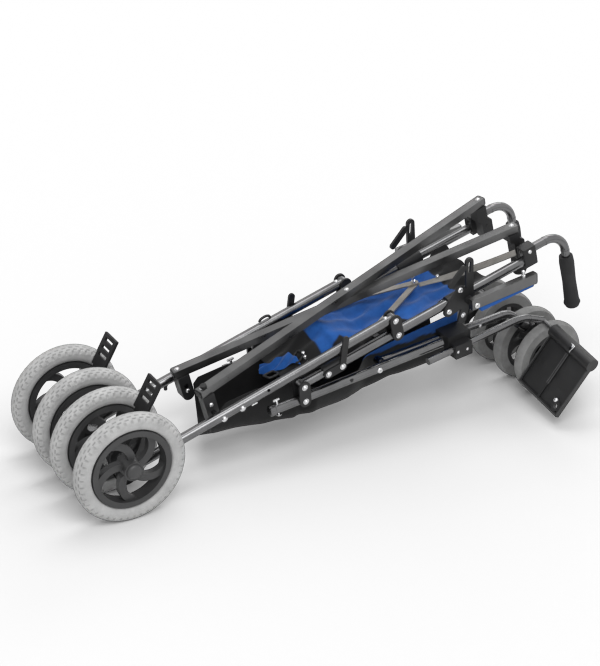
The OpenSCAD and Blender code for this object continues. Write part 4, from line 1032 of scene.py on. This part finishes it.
# On the plate: its rims and rib with the radii of the lighter beads that paint a highlight along them, two
# screws and the bright latch spring's route
PLATE_NEAR, PLATE_FAR, PLATE_END, BEAD_Z = -40.0, -173.0, 135.5, -3.6
NEAR_START, FAR_START, RIB_END, RIB_SIDES = 9.0, 16.0, 96.0, (-104.0, -109.0)
RIM_BEAD, RIB_BEAD, BEAD_BEVEL = 1.5, 1.7, 0.6
PLATE_SCREW, LATCH_SCREW = (110.0, -150.0, -3.9), (-6.0, -114.0, -14.2)
LATCH_WIRE = 1.3
LATCH_ROUTE = ((-9, -108, -14.6), (-9.5, -114, -15.6), (-9, -120, -15.4), (-3, -119, -16.4),
               (4, -117, -16.2), (8, -116, -14.0))


def on_plate(x, y, z):
    """Point of the footplate: x down from its hinge, y along the hinge and z out of its tread."""
    return PLATE_PIN + PLATE @ np.array([x, y, z], float)


def highlight_bead(start, end, r):
    """Rounded rod in lighter plastic on the plate's rims, a painted highlight, between two places of (x, y).
    """
    return rod(on_plate(*start, BEAD_Z), on_plate(*end, BEAD_Z), r, BEAD_BEVEL)


# Painted highlight: rods in lighter plastic along the footplate's rims and rib
solid_piece("footplate_highlight_beads",
            [highlight_bead((NEAR_START, PLATE_NEAR), (PLATE_END, PLATE_NEAR), RIM_BEAD),
             highlight_bead((FAR_START, PLATE_FAR), (PLATE_END, PLATE_FAR), RIM_BEAD),
             highlight_bead((PLATE_END, PLATE_NEAR), (PLATE_END, PLATE_FAR), RIM_BEAD),
             *(highlight_bead((FAR_START, y), (RIB_END, y), RIB_BEAD) for y in RIB_SIDES)],
            RIM_PLASTIC, "footplate")
steel("footplate_screw", [knob(on_plate(*PLATE_SCREW), -PLATE[:, 2], BOLT_HEAD),
                          knob(on_plate(*LATCH_SCREW), -PLATE[:, 2], BOLT_HEAD * 0.6)], "footplate")
steel("footplate_latch", [bent_rod([on_plate(*spot) for spot in LATCH_ROUTE], LATCH_WIRE)], "footplate")


# Camera, light and floor

CAMERA_AT = (-1164.3773, -2547.2, 1823.6771)
CAMERA_LOOK = np.array([0.47576096, 0.74462, -0.46816901])
CAMERA_RIGHT = np.array([0.85434084, -0.51776, 0.04471117])
FOCAL_PX, PHOTO_HIGH_PX, SENSOR = 1653.135, 666.0, 36.0
FLOOR_HALF = 9.0
LAMP_TARGET = (0.0, 0.0, 0.2)
WORLD_FILL = 0.66
WHITE = (1.0, 1.0, 1.0, 1.0)
# Lamps: name, place, size and power
LAMPS = (("key_box", (-0.9, -1.6, 2.4), (1.7, 1.5), 42.0),
         ("top_box", (0.3, 0.4, 2.6), (2.2, 1.0), 20.0),
         ("far_box", (1.8, 1.6, 1.6), (1.2, 1.2), 12.0))


def set_pose(thing, x, y, z, at):
    """Puts an object at a place, with its axes along three unit vectors."""
    m = np.eye(4)
    m[:3] = np.stack([x, y, z, at], 1)
    thing.matrix_world = Matrix(m.tolist())


def add_camera():
    """Camera of the photograph."""
    data = bpy.data.cameras.new("camera")
    data.sensor_width = SENSOR
    data.lens = FOCAL_PX / PHOTO_HIGH_PX * SENSOR
    data.clip_start, data.clip_end = 0.05, 60.0
    camera = bpy.data.objects.new("camera", data)
    bpy.context.scene.collection.objects.link(camera)
    set_pose(camera, CAMERA_RIGHT, np.cross(CAMERA_RIGHT, CAMERA_LOOK), -CAMERA_LOOK, place(CAMERA_AT))
    bpy.context.scene.camera = camera


def soft_box(name, position, size, power):
    """Rectangular lamp that points at the buggy."""
    data = bpy.data.lights.new(name, "AREA")
    data.shape = "RECTANGLE"
    data.size, data.size_y = size
    data.energy = power
    lamp = bpy.data.objects.new(name, data)
    bpy.context.scene.collection.objects.link(lamp)
    back = np.subtract(position, LAMP_TARGET)
    back /= np.linalg.norm(back)
    side = FORWARD - back[0] * back
    side /= np.linalg.norm(side)
    set_pose(lamp, side, np.cross(back, side), back, position)


def add_world():
    """White for rays that see it straight, by reflection or through something, and a dimmer fill light for
    the rest."""
    world = bpy.data.worlds.new("studio")
    bpy.context.scene.world = world
    world.use_nodes = True
    world.node_tree.nodes.clear()
    shader = Shader(world.node_tree)
    path = shader.node("LightPath").outputs
    through = shader.math("MAXIMUM", path["Is Camera Ray"], path["Is Transmission Ray"])
    either = shader.math("MAXIMUM", through, path["Is Glossy Ray"])
    fill, seen = (shader.node("Background", WHITE, strength).outputs[0] for strength in (WORLD_FILL, 1.0))
    shader.node("OutputWorld", shader.node("MixShader", either, fill, seen).outputs[0])


add_camera()
corners = FLOOR_HALF * np.array([[-1, -1, 0], [1, -1, 0], [1, 1, 0], [-1, 1, 0]], float)
floor_paper = plastic_finish("floor_paper", (0.8, 0.8, 0.8), (0.82, 0.82, 0.82), 0.9,
                             grain_scale=40.0, bump=0.0)
floor = make_piece("floor", corners, np.array([[0, 1, 2, 3]]), floor_paper, smooth=False)
floor.is_shadow_catcher = True
for lamp_row in LAMPS:
    soft_box(*lamp_row)
add_world()

bpy.context.scene.view_settings.view_transform = "Standard"
